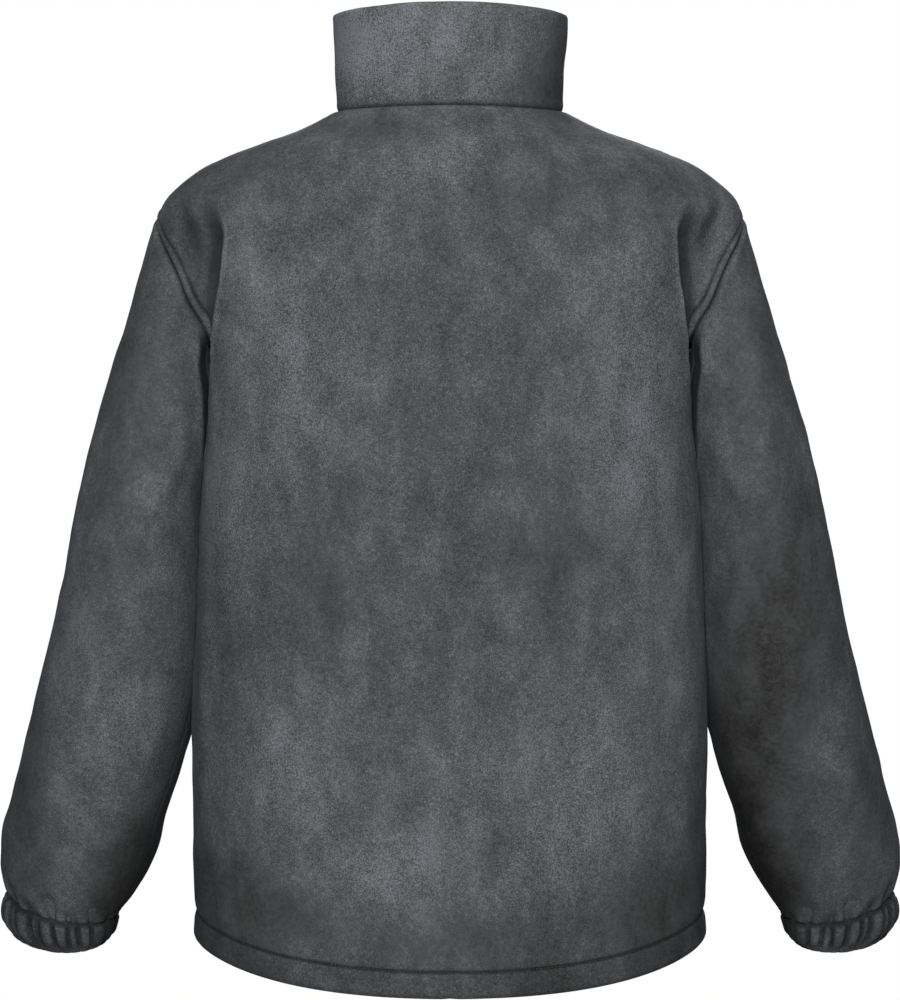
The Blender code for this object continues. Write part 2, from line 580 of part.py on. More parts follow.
def cuff_band(name, material, mirrored):
    """A short tube over the elastic, gathered outside and smooth inside. It starts where the sleeve ends."""
    turns = np.linspace(0, 1, CUFF_COLUMNS, endpoint=False)
    turn, way = np.meshgrid(turns, np.linspace(0, CUFF_KNOTS[-1], CUFF_ROWS))
    outer = cuff(turn, way)
    inner = cuff_base(turn, way) - normals(cuff_base, turn, way) * CUFF_CLOTH
    down = unit(arm_ring(CUFF["middle"], ROUND).mean(axis=0) - arm_ring(CUFF["seam"], ROUND).mean(axis=0))
    outer, inner = outer + down * SEAM_GAP * 2, inner + down * SEAM_GAP * 2
    return wall(name, outer, inner, material, tube=True, folded=("end",), mirrored=mirrored)


def collar_band(material):
    """One strip from zip to zip. Its columns are those of the panels that it is sewn to."""
    crest, edge = fold_angle("back")[-1], math.pi / 2
    beside_arm = crest + (edge - crest) * np.array(BACK_SIDE_COLUMNS)
    back = np.concatenate([crest * np.array(BACK_COLUMNS), beside_arm])
    half = np.concatenate([back, front_angles()[-1][1:]])
    angles = np.concatenate([-half[:0:-1], half])
    angle, level = np.meshgrid(angles, np.linspace(0, COLLAR_KNOTS[-1], COLLAR_ROWS))
    outer, up = collar(angle, level), normals(collar, angle, level)
    stretch = np.ones(angle.shape)
    torso_up = normals(torso, angles, np.full(len(angles), TORSO_LEVEL["neck"]))
    up[0], stretch[0] = seam_offset(up[0], torso_up)
    inner = outer - up * (COLLAR_CLOTH * stretch)[..., None]
    outer, inner = shifted_panel(outer, inner, up)
    return wall("collar", outer, inner, material, folded=("end",))


# ---------------------------------------------------------------- zip
def zip_line(x, depth):
    """The line up the front edge at this distance from the centre line, this far under the surface.

    It runs up the front's surface, then up the collar's, and turns in the seam between them.
    x may vary up the line.
    """
    levels, rise = torso_levels()[0], np.linspace(0, COLLAR_KNOTS[-1], COLLAR_ROWS)
    body_x = hermite(TORSO_KNOTS, np.array(list(TORSO.values())), levels)[:, 0]
    neck_x = hermite(COLLAR_KNOTS, np.array(list(COLLAR.values())), rise)[:, 0]
    x = np.broadcast_to(x, len(levels) + COLLAR_ROWS - 1)
    body_angle = math.pi - np.arcsin(x[:len(levels)] / body_x)
    neck_angle = math.pi - np.arcsin(x[len(levels) - 1:] / neck_x)
    points = np.concatenate([torso(body_angle, levels), collar(neck_angle[1:], rise[1:])])
    body_up, neck_up = normals(torso, body_angle, levels), normals(collar, neck_angle, rise)
    seam_up, stretch = seam_offset(body_up[-1:], neck_up[:1])
    up = np.concatenate([body_up[:-1], seam_up * stretch[:, None], neck_up[1:]])
    return points - up * depth


def zip_strip(name, near_x, far_x, front, back, keep, material, mirrored=False):
    """A strip along the zip, between two distances from the centre line and between two depths."""
    grids = [np.stack([zip_line(x, depth) for x in (far_x, near_x)], axis=1)[keep] for depth in (front, back)]
    return wall(name, *grids, material, mirrored=mirrored)


def zip_heights():
    return zip_line(0.0, 0.0)[:, 2]


def solid_box(name, low, high, material):
    """A box between two corners."""
    corners = [(x, y, z) for x in (low[0], high[0]) for y in (low[1], high[1]) for z in (low[2], high[2])]
    faces = [(0, 1, 3, 2), (4, 6, 7, 5), (0, 4, 5, 1), (2, 3, 7, 6), (0, 2, 6, 4), (1, 5, 7, 3)]
    return mesh_object(name, corners, faces, material, smooth=False)


def cutter(obj):
    """Marks a shape that only serves to cut or to join."""
    obj.hide_render = True
    obj.display_type = "WIRE"
    return obj


def boolean(obj, other, operation):
    step = obj.modifiers.new(operation.lower(), "BOOLEAN")
    step.operation, step.object, step.solver = operation, other, "EXACT"


def prism(name, outline, low, high, flat, material):
    """An outline made solid between two distances. flat names the outline's two axes, as 0, 1 or 2."""
    count = len(outline)
    points = np.zeros((2 * count, 3))
    points[:, flat] = np.tile(outline, (2, 1))
    points[:, 3 - sum(flat)] = np.repeat((low, high), count)
    faces = [(k, (k + 1) % count, count + (k + 1) % count, count + k) for k in range(count)]
    faces += [tuple(range(count))[::-1], tuple(range(count, 2 * count))]
    a, b = np.array(outline), np.roll(outline, -1, axis=0)
    turned = np.sum(a[:, 0] * b[:, 1] - a[:, 1] * b[:, 0]) < 0
    if turned != (flat == (0, 2)):
        faces = [face[::-1] for face in faces]
    return mesh_object(name, points, faces, material, smooth=False)


def slider_place():
    """The slider's middle on the collar's surface, and how far it leans forward with the zip."""
    line = zip_line(0.0, 0.0)[-COLLAR_ROWS:]
    low, high = (np.array([np.interp(z, line[:, 2], line[:, 1]), z])
                 for z in (SLIDER_TOP_Z - SLIDER_LENGTH, SLIDER_TOP_Z))
    rise = high - low
    return mathutils.Vector((0, *(low + high) / 2)), math.atan2(-rise[0], rise[1])


def zip_slider(material):
    """Two plates on either side of the zip, joined at the top, and the eye that the pull tab hangs in."""
    half, top = SLIDER_WIDTH / 2, SLIDER_LENGTH / 2
    outline = [(-0.7 * half, -top), (0.7 * half, -top), (half, 0.5 * top), (0.8 * half, top),
               (-0.8 * half, top), (-half, 0.5 * top)]
    body = prism("zip_slider", outline, -SLIDER_FRONT, SLIDER_PLATE - SLIDER_FRONT, (0, 2), material)
    back_plate = cutter(prism("slider_back", outline,
                              SLIDER_BACK - SLIDER_PLATE, SLIDER_BACK, (0, 2), material))
    bridge = cutter(solid_box("slider_bridge",
                              (-BRIDGE_HALF_X, SLIDER_PLATE / 2 - SLIDER_FRONT, top - BRIDGE_LENGTH),
                              (BRIDGE_HALF_X, SLIDER_BACK - SLIDER_PLATE / 2, top - 0.0005), material))
    eye_top = EYE_LENGTH / 2
    eye = cutter(solid_box("slider_eye", (-EYE_WIDTH / 2, -SLIDER_FRONT - EYE_HEIGHT, -eye_top),
                           (EYE_WIDTH / 2, SLIDER_PLATE / 2 - SLIDER_FRONT, eye_top), material))
    hole = cutter(solid_box("slider_eye_hole",
                            (-half, EYE_BAR - SLIDER_FRONT - EYE_HEIGHT, EYE_BAR - eye_top),
                            (half, -SLIDER_FRONT, eye_top - EYE_BAR), material))
    boolean(eye, hole, "DIFFERENCE")
    for other in (back_plate, bridge, eye):
        boolean(body, other, "UNION")
    middle, lean = slider_place()
    for obj in (body, back_plate, bridge, eye, hole):
        obj.location, obj.rotation_euler = middle, (lean, 0, 0)
    return body


def zip_pull(material):
    """The pull tab: a flat blade with a window at its top, whose cross bar sits in the slider's eye."""
    middle, lean = slider_place()
    reach = SLIDER_FRONT + (EYE_HEIGHT - EYE_BAR) / 2
    centre = middle + mathutils.Vector((0, -reach * math.cos(lean), -reach * math.sin(lean)))
    bar_half, half_width, half_thick = PULL_ARM_X + PULL_ARM_WIDTH / 2, PULL_WIDTH / 2, PULL_THICK / 2
    turns = [2 * math.pi * k / PULL_BAR_SIDES for k in range(PULL_BAR_SIDES)]
    round_bar = [(PULL_BAR_RADIUS * math.cos(a), PULL_BAR_RADIUS * math.sin(a)) for a in turns]
    bar = cutter(prism("pull_bar", round_bar, -bar_half, bar_half, (1, 2), material))
    tip = [(half_width * math.cos(a), half_width * math.sin(a) + half_width - PULL_LENGTH)
           for a in np.linspace(0, -math.pi, PULL_END_SIDES + 1)]
    outline = [(bar_half, half_thick), (half_width, -PULL_ARM_LENGTH), *tip,
               (-half_width, -PULL_ARM_LENGTH), (-bar_half, half_thick)]
    blade = prism("zip_pull", outline, -half_thick, half_thick, (0, 2), material)
    window_half = PULL_ARM_X - PULL_ARM_WIDTH / 2
    window = cutter(solid_box("pull_window", (-window_half, -PULL_WIDTH, -PULL_ARM_LENGTH),
                              (window_half, PULL_WIDTH, PULL_WIDTH), material))
    boolean(blade, window, "DIFFERENCE")
    boolean(blade, bar, "UNION")
    for obj in (blade, window, bar):
        obj.location = centre
    return blade


def zip_parts(tape, teeth, metal):
    """The zip, closed: two tapes, the joined teeth, the slider with its pull, and the bottom box."""
    heights = zip_heights()
    whole = np.arange(len(heights))
    in_collar = whole >= len(heights) - COLLAR_ROWS
    in_hem = whole <= np.searchsorted(torso_levels()[0], TORSO_LEVEL["hem_stitch"] + HEM_STITCH_WIDTH)
    beside_bridge = heights > SLIDER_TOP_Z - SLIDER_LENGTH - 0.004
    near_x = np.where(beside_bridge, BRIDGE_HALF_X + SEAM_GAP, TAPE_GAP_X)
    far_x = np.where(in_collar | in_hem, FRONT_EDGE_X - SEAM_GAP, TAPE_WIDTH)
    for name, mirrored in (("zip_tape_left", False), ("zip_tape_right", True)):
        zip_strip(name, near_x, far_x, TAPE_DEPTH, TAPE_DEPTH + TAPE_THICK, whole, tape, mirrored)
    box_top = heights[0] + BOX_HEIGHT
    chain = whole[(heights > box_top) & (heights < SLIDER_TOP_Z - SLIDER_LENGTH)]
    teeth_back = TAPE_DEPTH - SEAM_GAP
    zip_strip("zip_chain", -CHAIN_HALF_WIDTH, CHAIN_HALF_WIDTH,
              teeth_back - CHAIN_THICK, teeth_back, chain, teeth)
    zip_slider(metal)
    zip_pull(metal)
    surface = zip_line(0.0, 0.0)
    box_y = np.interp(heights[0] + BOX_HEIGHT / 2, heights[:4], surface[:4, 1])
    solid_box("zip_box", (-BOX_WIDTH / 2, box_y - BOX_PROUD, heights[0] + 0.001),
              (BOX_WIDTH / 2, box_y + TAPE_DEPTH - 2 * SEAM_GAP, box_top), teeth)


def material_of(name, colour, roughness, metallic):
    material = bpy.data.materials.new(name)
    material.use_nodes = True
    shader = material.node_tree.nodes["Principled BSDF"]
    shader.inputs["Base Color"].default_value = (*colour, 1.0)
    shader.inputs["Roughness"].default_value = roughness
    shader.inputs["Metallic"].default_value = metallic
    material.diffuse_color = (*colour, 1.0)
    return material


def main():
    for obj in list(bpy.data.objects):
        bpy.data.objects.remove(obj)
    fleece = material_of("fleece", (0.090, 0.095, 0.102), 0.95, 0.0)
    tape = material_of("zip_tape", (0.030, 0.031, 0.034), 0.80, 0.0)
    teeth = material_of("zip_teeth", (0.025, 0.026, 0.028), 0.45, 0.0)
    metal = material_of("zip_metal", (0.060, 0.060, 0.065), 0.35, 0.9)
    back_panel(fleece)
    for side, mirrored in (("left", False), ("right", True)):
        front_panel("front_" + side, fleece, mirrored)
        sleeve_tube("sleeve_" + side, fleece, mirrored)
        cuff_band("cuff_" + side, fleece, mirrored)
    collar_band(fleece)
    zip_parts(tape, teeth, metal)


main()
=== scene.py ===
import math

import bmesh
import bpy
import numpy as np
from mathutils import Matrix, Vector


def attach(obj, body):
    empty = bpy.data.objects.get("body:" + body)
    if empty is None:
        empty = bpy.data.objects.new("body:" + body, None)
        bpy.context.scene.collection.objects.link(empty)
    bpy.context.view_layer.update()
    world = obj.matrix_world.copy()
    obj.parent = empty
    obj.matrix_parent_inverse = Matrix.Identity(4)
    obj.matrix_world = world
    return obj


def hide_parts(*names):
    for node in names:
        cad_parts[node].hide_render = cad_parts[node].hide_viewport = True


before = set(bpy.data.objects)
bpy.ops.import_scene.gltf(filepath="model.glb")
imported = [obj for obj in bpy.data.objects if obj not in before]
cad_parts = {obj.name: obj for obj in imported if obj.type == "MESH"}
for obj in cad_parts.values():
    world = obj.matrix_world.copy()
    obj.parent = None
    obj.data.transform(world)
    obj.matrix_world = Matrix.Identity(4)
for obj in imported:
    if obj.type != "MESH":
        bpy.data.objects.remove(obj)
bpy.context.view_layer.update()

# ================================================================ the back
# One panel of anti-pill fleece, cut whole from hem to collar. It hangs from the shoulder blades and laps over
# each armhole in a long fold. The hem is turned up inside and held by one row of stitches.
FLEECE = 0.0025
HEM_CLOTH = 2 * FLEECE
TORSO_COLUMNS = ("side_x", "side_z", "back_y", "back_z", "front_y", "front_z")
TORSO = {  # rings round the body: the widest point, and the middle of the back and of the front
    "hem_edge": (0.2126, -0.6770, 0.1315, -0.6985, -0.1290, -0.6900),
    "hem_stitch": (0.2122, -0.6560, 0.1330, -0.6785, -0.1305, -0.6690),
    "hem_top": (0.2126, -0.6380, 0.1340, -0.6580, -0.1310, -0.6490),
    "hip": (0.2125, -0.5900, 0.1340, -0.6000, -0.1320, -0.5950),
    "waist": (0.2122, -0.5000, 0.1330, -0.5050, -0.1340, -0.5020),
    "ribs": (0.2080, -0.4000, 0.1330, -0.4000, -0.1370, -0.4000),
    "chest": (0.2048, -0.3200, 0.1325, -0.3200, -0.1395, -0.3200),
    "underarm": (0.2017, -0.2850, 0.1322, -0.2850, -0.1400, -0.2860),
    "armhole_low": (0.1990, -0.2450, 0.1318, -0.2450, -0.1395, -0.2480),
    "armhole_crease": (0.2000, -0.2100, 0.1311, -0.2080, -0.1384, -0.2150),
    "armhole_mid": (0.2095, -0.1820, 0.1297, -0.1800, -0.1367, -0.1890),
    "armhole_high": (0.2280, -0.1500, 0.1263, -0.1480, -0.1335, -0.1620),
    "shoulder_drop": (0.2365, -0.1150, 0.1200, -0.1130, -0.1279, -0.1340),
    "shoulder": (0.2386, -0.0850, 0.1122, -0.0832, -0.1208, -0.1120),
    "shoulder_round": (0.2332, -0.0726, 0.1086, -0.0720, -0.1173, -0.1040),
    "slope_low": (0.2205, -0.0594, 0.1036, -0.0588, -0.1126, -0.0950),
    "slope_mid": (0.2040, -0.0469, 0.0972, -0.0463, -0.1066, -0.0855),
    "slope": (0.1794, -0.0350, 0.0900, -0.0343, -0.0992, -0.0760),
    "slope_high": (0.1547, -0.0260, 0.0828, -0.0248, -0.0915, -0.0675),
    "neck_side": (0.1221, -0.0148, 0.0740, -0.0128, -0.0832, -0.0590),
    "neck": (0.0922, 0.0000, 0.0640, 0.0022, -0.0740, -0.0500),
}
# Armhole seam, in degrees behind and in front of the side line, from the shoulder (0) to the underarm (1).
ARMHOLE = ((0.000, 0.0, 0.0), (0.167, 9.0, 9.0), (0.333, 19.5, 20.0), (0.500, 16.0, 20.0),
           (0.667, 9.0, 14.0), (0.833, 5.5, 8.0), (1.000, 0.0, 0.0))
# The fold that hangs from each shoulder blade: where its crest runs, its rise, and the hollow beside the arm.
DRAPE_CREST = {"z": (-0.2350, -0.2000, -0.1760, -0.1300, -0.0860),
               "back_x": (0.1965, 0.1930, 0.1885, 0.1840, 0.1800),
               "front_x": (0.1930, 0.1850, 0.1790, 0.1740, 0.1700)}
DRAPE_HEIGHT = {"back": 0.0060, "front": 0.0040}
DRAPE_HOLLOW = {"back": 0.0080, "front": 0.0045}
DRAPE_SOFT_SIDE, DRAPE_SHARP_SIDE, DRAPE_HOLLOW_WIDTH = 0.030, 0.007, 0.026
DRAPE_Z, DRAPE_Y = (-0.070, -0.115, -0.200, -0.285), (0.012, 0.045)
# The fold laps over: how far beyond the crest it drops away, how far the cloth slides in there, and how deep
# the hollow beyond it is. The front has only a share of it. Four heights are where something starts, is
# whole, fades and ends; two are where it starts and is whole.
LAP_DROP, LAP_FRONT_SHARE, HOLLOW_DEEP = 0.0052, 0.5, 0.0140
LAP_Z, LAP_Y, HOLLOW_Z = (-0.076, -0.106, -0.215, -0.255), (0.010, 0.030), (-0.058, -0.125, -0.170, -0.225)
LAP_IN = {"z": (-0.2350, -0.1950, -0.1770, -0.1560, -0.1400, -0.0850),
          "in": (0.0, 0.0035, 0.0040, 0.0055, 0.0075, 0.0070)}
# Behind, a ridge and a hollow lie between the fold and the shoulder seam: their heights, then the x, the
# width and the rise of each.
RIDGE_Z, RIDGES = (-0.130, -0.105, -0.075, -0.055), ((0.2050, 0.0060, 0.0030), (0.2155, 0.0062, -0.0034))
# Lower down, the hollow behind is a pit between body and sleeve: how far in it goes, the heights where it
# lies, how its edge is rounded, and the line of that edge.
PIT_Y, PIT_Z, PIT_EDGE_ROUND = -0.002, (-0.272, -0.240, -0.193, -0.182), (-0.0005, 0.0009)
PIT_EDGE = {"z": (-0.2730, -0.2410, -0.2170, -0.1930, -0.1800),
            "x": (0.1995, 0.1971, 0.1947, 0.1923, 0.1908)}
# Beyond the crest, painted shadow darkens the pile, a painted highlight lies on the crest, and painted shade
# is darkest wherever the cloth lies shut in.
LAP_SHADOW, LAP_SHADOW_REACH, LAP_HIGHLIGHT, SHUT_IN_DARK = 0.85, 0.0090, 0.16, 1.25
# The crevice behind and in front of each underarm: its heights, its depths, and its reach from the seam.
CREVICE_Z, CREVICE_Y = (-0.290, -0.245, -0.194, -0.176), 0.012
CREVICE_BACK, CREVICE_FRONT, CREVICE_REACH = 0.0360, 0.0100, 0.0036
# Long soft folds: degrees round from the middle of the back, lean, top and bottom z, width, height.
TORSO_FOLDS = (
    (22.0, 4.0, -0.160, -0.520, 0.026, 0.0022),
    (-18.0, -6.0, -0.120, -0.480, 0.024, 0.0020),
    (44.0, -5.0, -0.330, -0.640, 0.030, 0.0030),
    (-46.0, 5.0, -0.300, -0.640, 0.030, 0.0030),
    (4.0, 2.0, -0.380, -0.660, 0.030, 0.0022),
    (72.0, -4.0, -0.340, -0.600, 0.022, 0.0028),
    (-70.0, 4.0, -0.360, -0.620, 0.022, 0.0028),
    (118.0, 4.0, -0.330, -0.620, 0.026, 0.0030),
    (-121.0, -4.0, -0.300, -0.600, 0.026, 0.0030),
    (150.0, -3.0, -0.240, -0.560, 0.026, 0.0022),
    (-147.0, 3.0, -0.260, -0.580, 0.026, 0.0022),
)
HEM_STITCH_DEPTH, HEM_STITCH_WIDTH = 0.0014, 0.0045
HEM_DROOP, HEM_DROOP_REACH = 0.0030, 0.060
HEM_ROPING, HEM_ROPE_SIZE, HEM_ROPE_BELOW, HEM_ROPE_REACH = 0.0005, 0.018, 0.006, 0.012
HEM_STEP, HEM_SEAM_SINK, HEM_SEAM_ROUND = 0.0005, 0.0009, 0.0012
HEM_EDGE_SINK, HEM_EDGE_ROUND = 0.0010, 0.0016
SEAM_SINK, SEAM_ROUND = 0.0016, 0.0024  # the cloth rolls in at every seam
SEAM_TURN = 0.0040  # within this distance the walls of two sewn pieces turn towards each other
SIDE_SEAM_SINK, SIDE_SEAM_ROUND, SIDE_SEAM_LEAN = 0.0009, 0.0018, 0.6
TOPSTITCH_IN, TOPSTITCH_SINK, TOPSTITCH_ROUND, TOPSTITCH_PUFF = 0.0080, 0.0014, 0.0012, 0.0010
CALM_SEAM_ON_TOP, CALM_STITCH_ON_TOP, CALM_STITCH_IN_CREVICE = 0.7, 0.75, 0.8
# How the pile is pressed: how far from a seam, how much under stitches and how far from them, how much and
# how far at the hem's stitches, and how much painted shade, with pressed pile, lies over the hem.
SEAM_PRESSED, STITCH_PRESSED, STITCH_PRESSED_ROUND = 0.0016, 0.8, 0.0012
HEM_STITCH_PRESSED, HEM_STITCH_PRESSED_ROUND, HEM_PRESSED_AND_SHADED = 0.9, 0.0011, 0.40
# The cloth's own waves: size, height, and how they are stretched downwards.
BODY_WAVES = ((0.055, 0.0011, 0.55), (0.021, 0.0005, 1), (0.009, 0.00016, 1))
NUDGE = 1e-4  # the step that gives a surface's slopes


def hermite(knots, rows, at):
    """The smooth curve of third degree through the rows of a table. The slope at a row is the mean of the
    slopes on both its sides, weighted by nearness."""
    knots, rows, at = np.asarray(knots), np.asarray(rows, float), np.asarray(at, float)
    spare = (1,) * (rows.ndim - 1)
    step = np.diff(knots).reshape(-1, *spare)
    slope = np.diff(rows, axis=0) / step
    near = step[:-1] / (step[:-1] + step[1:])
    tangent = np.concatenate([slope[:1], (1 - near) * slope[:-1] + near * slope[1:], slope[-1:]])
    index = np.clip(np.searchsorted(knots, at, side="right") - 1, 0, len(knots) - 2)
    width = (knots[index + 1] - knots[index])[..., None]
    t = (at - knots[index])[..., None] / width

    def pick(table, i):
        return table[i] if table.ndim == 2 else np.take_along_axis(table, i[None, ..., None], axis=0)[0]

    here = pick(rows, index) * (2 * t**3 - 3 * t**2 + 1) + pick(rows, index + 1) * (3 * t**2 - 2 * t**3)
    leaving, arriving = pick(tangent, index) * width, pick(tangent, index + 1) * width
    return here + leaving * (t**3 - 2 * t**2 + t) + arriving * (t**3 - t**2)


def unit(vectors):
    """Vectors over their own lengths."""
    return vectors / np.maximum(np.linalg.norm(vectors, axis=-1, keepdims=True), 1e-12)


def bump(distance, width):
    """A bell: 1 at no distance, e to the minus square of the distance over the width."""
    return np.exp(-((distance / width) ** 2))


def ramp(value, start, end):
    """0 at start, 1 at end, smooth in between."""
    t = np.clip((value - start) / (end - start), 0, 1)
    return t * t * (3 - 2 * t)


def between(value, start, whole, fade, end):
    """0 before start, 1 from whole to fade, 0 after end, smooth in between. The four run up or down."""
    return ramp(value, start, whole) * ramp(value, end, fade)


def runs(*stretches):
    """Places one after another. A stretch is its start, its end and how many places it has. Its end is left
    to the next stretch."""
    return np.concatenate([np.linspace(start, end, count, endpoint=False) for start, end, count in stretches])


def normals(surface, a, b):
    """Unit normals of surface(a, b): its step along b crossed with its step along a."""
    along_a = surface(a + NUDGE, b) - surface(a - NUDGE, b)
    along_b = surface(a, b + NUDGE) - surface(a, b - NUDGE)
    return unit(np.cross(along_b, along_a))


def raised(surface, relief):
    """The surface moved out along its normals by relief(a, b, points)."""

    def moved(a, b):
        points = surface(a, b)
        return points + normals(surface, a, b) * relief(a, b, points)[..., None]

    return moved


def soft_noise(points, size, seed):
    """Smooth lumps about one size across, from -1 to 1: a mixed-up number at each corner of a lattice of
    cubes, blended over the cube by the smooth ramp along each of its sides."""
    cell = points / size
    low = np.floor(cell).astype(np.int64)
    t = cell - low
    t = t * t * (3 - 2 * t)
    total = np.zeros(points.shape[:-1])
    for corner in np.ndindex(2, 2, 2):
        x, y, z = np.moveaxis(low + corner, -1, 0)
        mixed = (x * 374761393 + y * 668265263 + z * 2147483647 + seed * 1274126177) & 0xFFFFFFFF
        mixed = ((mixed ^ (mixed >> 13)) * 1103515245) & 0xFFFFFFFF
        value = ((mixed ^ (mixed >> 16)) & 0xFFFF) / 32767.5 - 1
        total += value * np.prod(np.where(corner, t, 1 - t), axis=-1)
    return total


def waviness(points, waves, seed):
    """The cloth's own waves: soft lumps of a few sizes, each with its height and its stretch downwards."""
    return sum(height * soft_noise(points * (1, 1, stretch), size, seed + number)
               for number, (size, height, stretch) in enumerate(waves))


def way_knots(table):
    """Distance along a table's side line, which numbers its sections."""
    side = np.array(list(table.values()))[:, :2]
    return np.concatenate([[0], np.cumsum(np.linalg.norm(np.diff(side, axis=0), axis=1))])


TORSO_KNOTS = way_knots(TORSO)
TORSO_LEVEL = dict(zip(TORSO, TORSO_KNOTS))
TORSO_ROWS = np.array(list(TORSO.values()))


def ring_surface(table, knots, droop=0.0):
    """Rings round the body. x is the side point times the sine of the angle from the middle of the back, y
    the back or front point times its cosine, z goes from the side's height to the middle's with the cosine
    squared."""
    rows = np.array(list(table.values()))

    def surface(angle, level):
        side_x, side_z, back_y, back_z, front_y, front_z = np.moveaxis(hermite(knots, rows, level), -1, 0)
        across, along = np.sin(angle), np.cos(angle)
        behind = along > 0
        y = along * np.where(behind, back_y, -front_y)
        z = side_z + (np.where(behind, back_z, front_z) - side_z) * along**2
        sag = droop * (2 * across * along) ** 2 * bump(level, HEM_DROOP_REACH)
        return np.stack([side_x * across, y, z - sag], axis=-1)

    return surface


def drape_fold(points):
    """A soft bell inside the crest; outside it a steep bell down into a wide, shallow one."""
    x, y, z = np.abs(points[..., 0]), points[..., 1], points[..., 2]
    shown = between(z, *DRAPE_Z) * ramp(np.abs(y), *DRAPE_Y)
    total = np.zeros_like(x)
    for side, faces in (("back", y > 0), ("front", y <= 0)):
        past = x - np.interp(z, DRAPE_CREST["z"], DRAPE_CREST[side + "_x"])
        height, hollow = DRAPE_HEIGHT[side], DRAPE_HOLLOW[side]
        inside = height * bump(past, DRAPE_SOFT_SIDE)
        outside = (height + hollow) * bump(past, DRAPE_SHARP_SIDE) - hollow * bump(past, DRAPE_HOLLOW_WIDTH)
        total = total + np.where(faces, np.where(past < 0, inside, outside), 0)
    return total * shown


def torso_relief(angle, level, points):
    """The drape folds, the long folds (bells round the body, sine squared down it) and the dip at the hem."""
    z, radius = points[..., 2], np.hypot(points[..., 0], points[..., 1])
    total = drape_fold(points)
    for angle_deg, lean_deg, top_z, bottom_z, width, height in TORSO_FOLDS:
        down = np.clip((z - top_z) / (bottom_z - top_z), 0, 1)
        apart = (angle - np.radians(angle_deg + lean_deg * down) + math.pi) % (2 * math.pi) - math.pi
        total = total + height * np.sin(math.pi * down) ** 2 * bump(apart * radius, width)
    return total - HEM_STITCH_DEPTH * bump(level - TORSO_LEVEL["hem_stitch"], HEM_STITCH_WIDTH)


torso_form = raised(ring_surface(TORSO, TORSO_KNOTS, HEM_DROOP), torso_relief)


def in_crevice(points):
    """1 at the heights where the underarm's crevice is deep."""
    return between(points[..., 2], *CREVICE_Z)


def in_pit(points):
    """1 in the pit behind each underarm: between its heights, beyond the edge where the fold drops away."""
    x, y, z = np.abs(points[..., 0]), points[..., 1], points[..., 2]
    beyond_edge = x - np.interp(z, PIT_EDGE["z"], PIT_EDGE["x"])
    return between(z, *PIT_Z) * ramp(beyond_edge, *PIT_EDGE_ROUND) * (y > 0)


def past_crest(points):
    """How far a point lies beyond the drape fold's crest, towards the arm."""
    x, y, z = np.abs(points[..., 0]), points[..., 1], points[..., 2]
    back_x, front_x = (np.interp(z, DRAPE_CREST["z"], DRAPE_CREST[side]) for side in ("back_x", "front_x"))
    return x - np.where(y > 0, back_x, front_x)


def drape_lap(points, seam_x):
    """Slides the cloth round the crest in towards the middle, most where the fold drops away and none at the
    seam, and sinks the hollow beyond it. Bells across x are the ridge and hollow by the shoulder seam."""
    x, y, z = np.abs(points[..., 0]), points[..., 1], points[..., 2]
    past, side = past_crest(points), np.where(y > 0, 1.0, -LAP_FRONT_SHARE)
    shown = ramp(np.abs(y), *LAP_Y)
    to_seam = np.maximum(seam_x - x, 0)
    room = np.maximum(seam_x - x + past - LAP_DROP, 0.002)
    slide = np.interp(z, LAP_IN["z"], LAP_IN["in"]) * ramp(past, -0.025, LAP_DROP - 0.001)
    slide = slide * ramp(to_seam, 0, 0.6 * room) * shown * ramp(z, *LAP_Z[:2]) * np.abs(side)
    sink = HOLLOW_DEEP * between(z, *HOLLOW_Z) * ramp(past, LAP_DROP, LAP_DROP + 0.013)
    sink = sink * ramp(to_seam, 0, 0.55 * room) * shown * side
    ridge = between(z, *RIDGE_Z) * ramp(y, *LAP_Y)
    sink = sink - ridge * sum(rise * bump(x - at, width) for at, width, rise in RIDGES)
    return np.stack([-np.sign(points[..., 0]) * slide, -sink, np.zeros_like(x)], axis=-1)


def arm_level(way):
    """Level of the armhole seam from the shoulder (0) to the underarm (1), by half a cosine."""
    share = (1 - np.cos(np.pi * way)) / 2
    return TORSO_LEVEL["shoulder"] + (TORSO_LEVEL["underarm"] - TORSO_LEVEL["shoulder"]) * share


def seam_angle(way, side):
    """Angle of the armhole seam from the middle of the back."""
    table = np.array(ARMHOLE)
    turned = np.radians(hermite(table[:, 0], table[:, 1:], np.asarray(way)))
    return math.pi / 2 - turned[..., 0] if side == "back" else math.pi / 2 + turned[..., 1]


def arm_way(level):
    """The way down the armhole at a level of the torso, the other way round from arm_level."""
    share = (level - TORSO_LEVEL["shoulder"]) / (TORSO_LEVEL["underarm"] - TORSO_LEVEL["shoulder"])
    return np.arccos(np.clip(1 - 2 * share, -1, 1)) / math.pi


def edge_angle(level, side):
    """Angle of a panel's outer edge: the side seam, the armhole, then the shoulder seam."""
    inside = (level > TORSO_LEVEL["underarm"]) & (level < TORSO_LEVEL["shoulder"])
    return np.where(inside, seam_angle(arm_way(level), side), math.pi / 2)


def torso(angle, level):
    """The body's cloth before it is sewn: its form with the folds, slid and sunk where the drape laps."""
    points = torso_form(angle, level)
    level = np.broadcast_to(level, points.shape[:-1])
    seam_x = np.where(points[..., 1] > 0, np.interp(level, SEAM_LEVELS, SEAM_X["back"]),
                      np.interp(level, SEAM_LEVELS, SEAM_X["front"]))
    return points + drape_lap(points, seam_x)


def armhole_turned(turn):
    """Angle and level of the armhole seam. The turn is 0 at the shoulder, 0.25 behind, 0.5 at the underarm
    and 0.75 in front."""
    turn = np.mod(turn, 1.0)
    way = np.where(turn <= 0.5, 2 * turn, 2 - 2 * turn)
    return np.where(turn <= 0.5, seam_angle(way, "back"), seam_angle(way, "front")), arm_level(way)


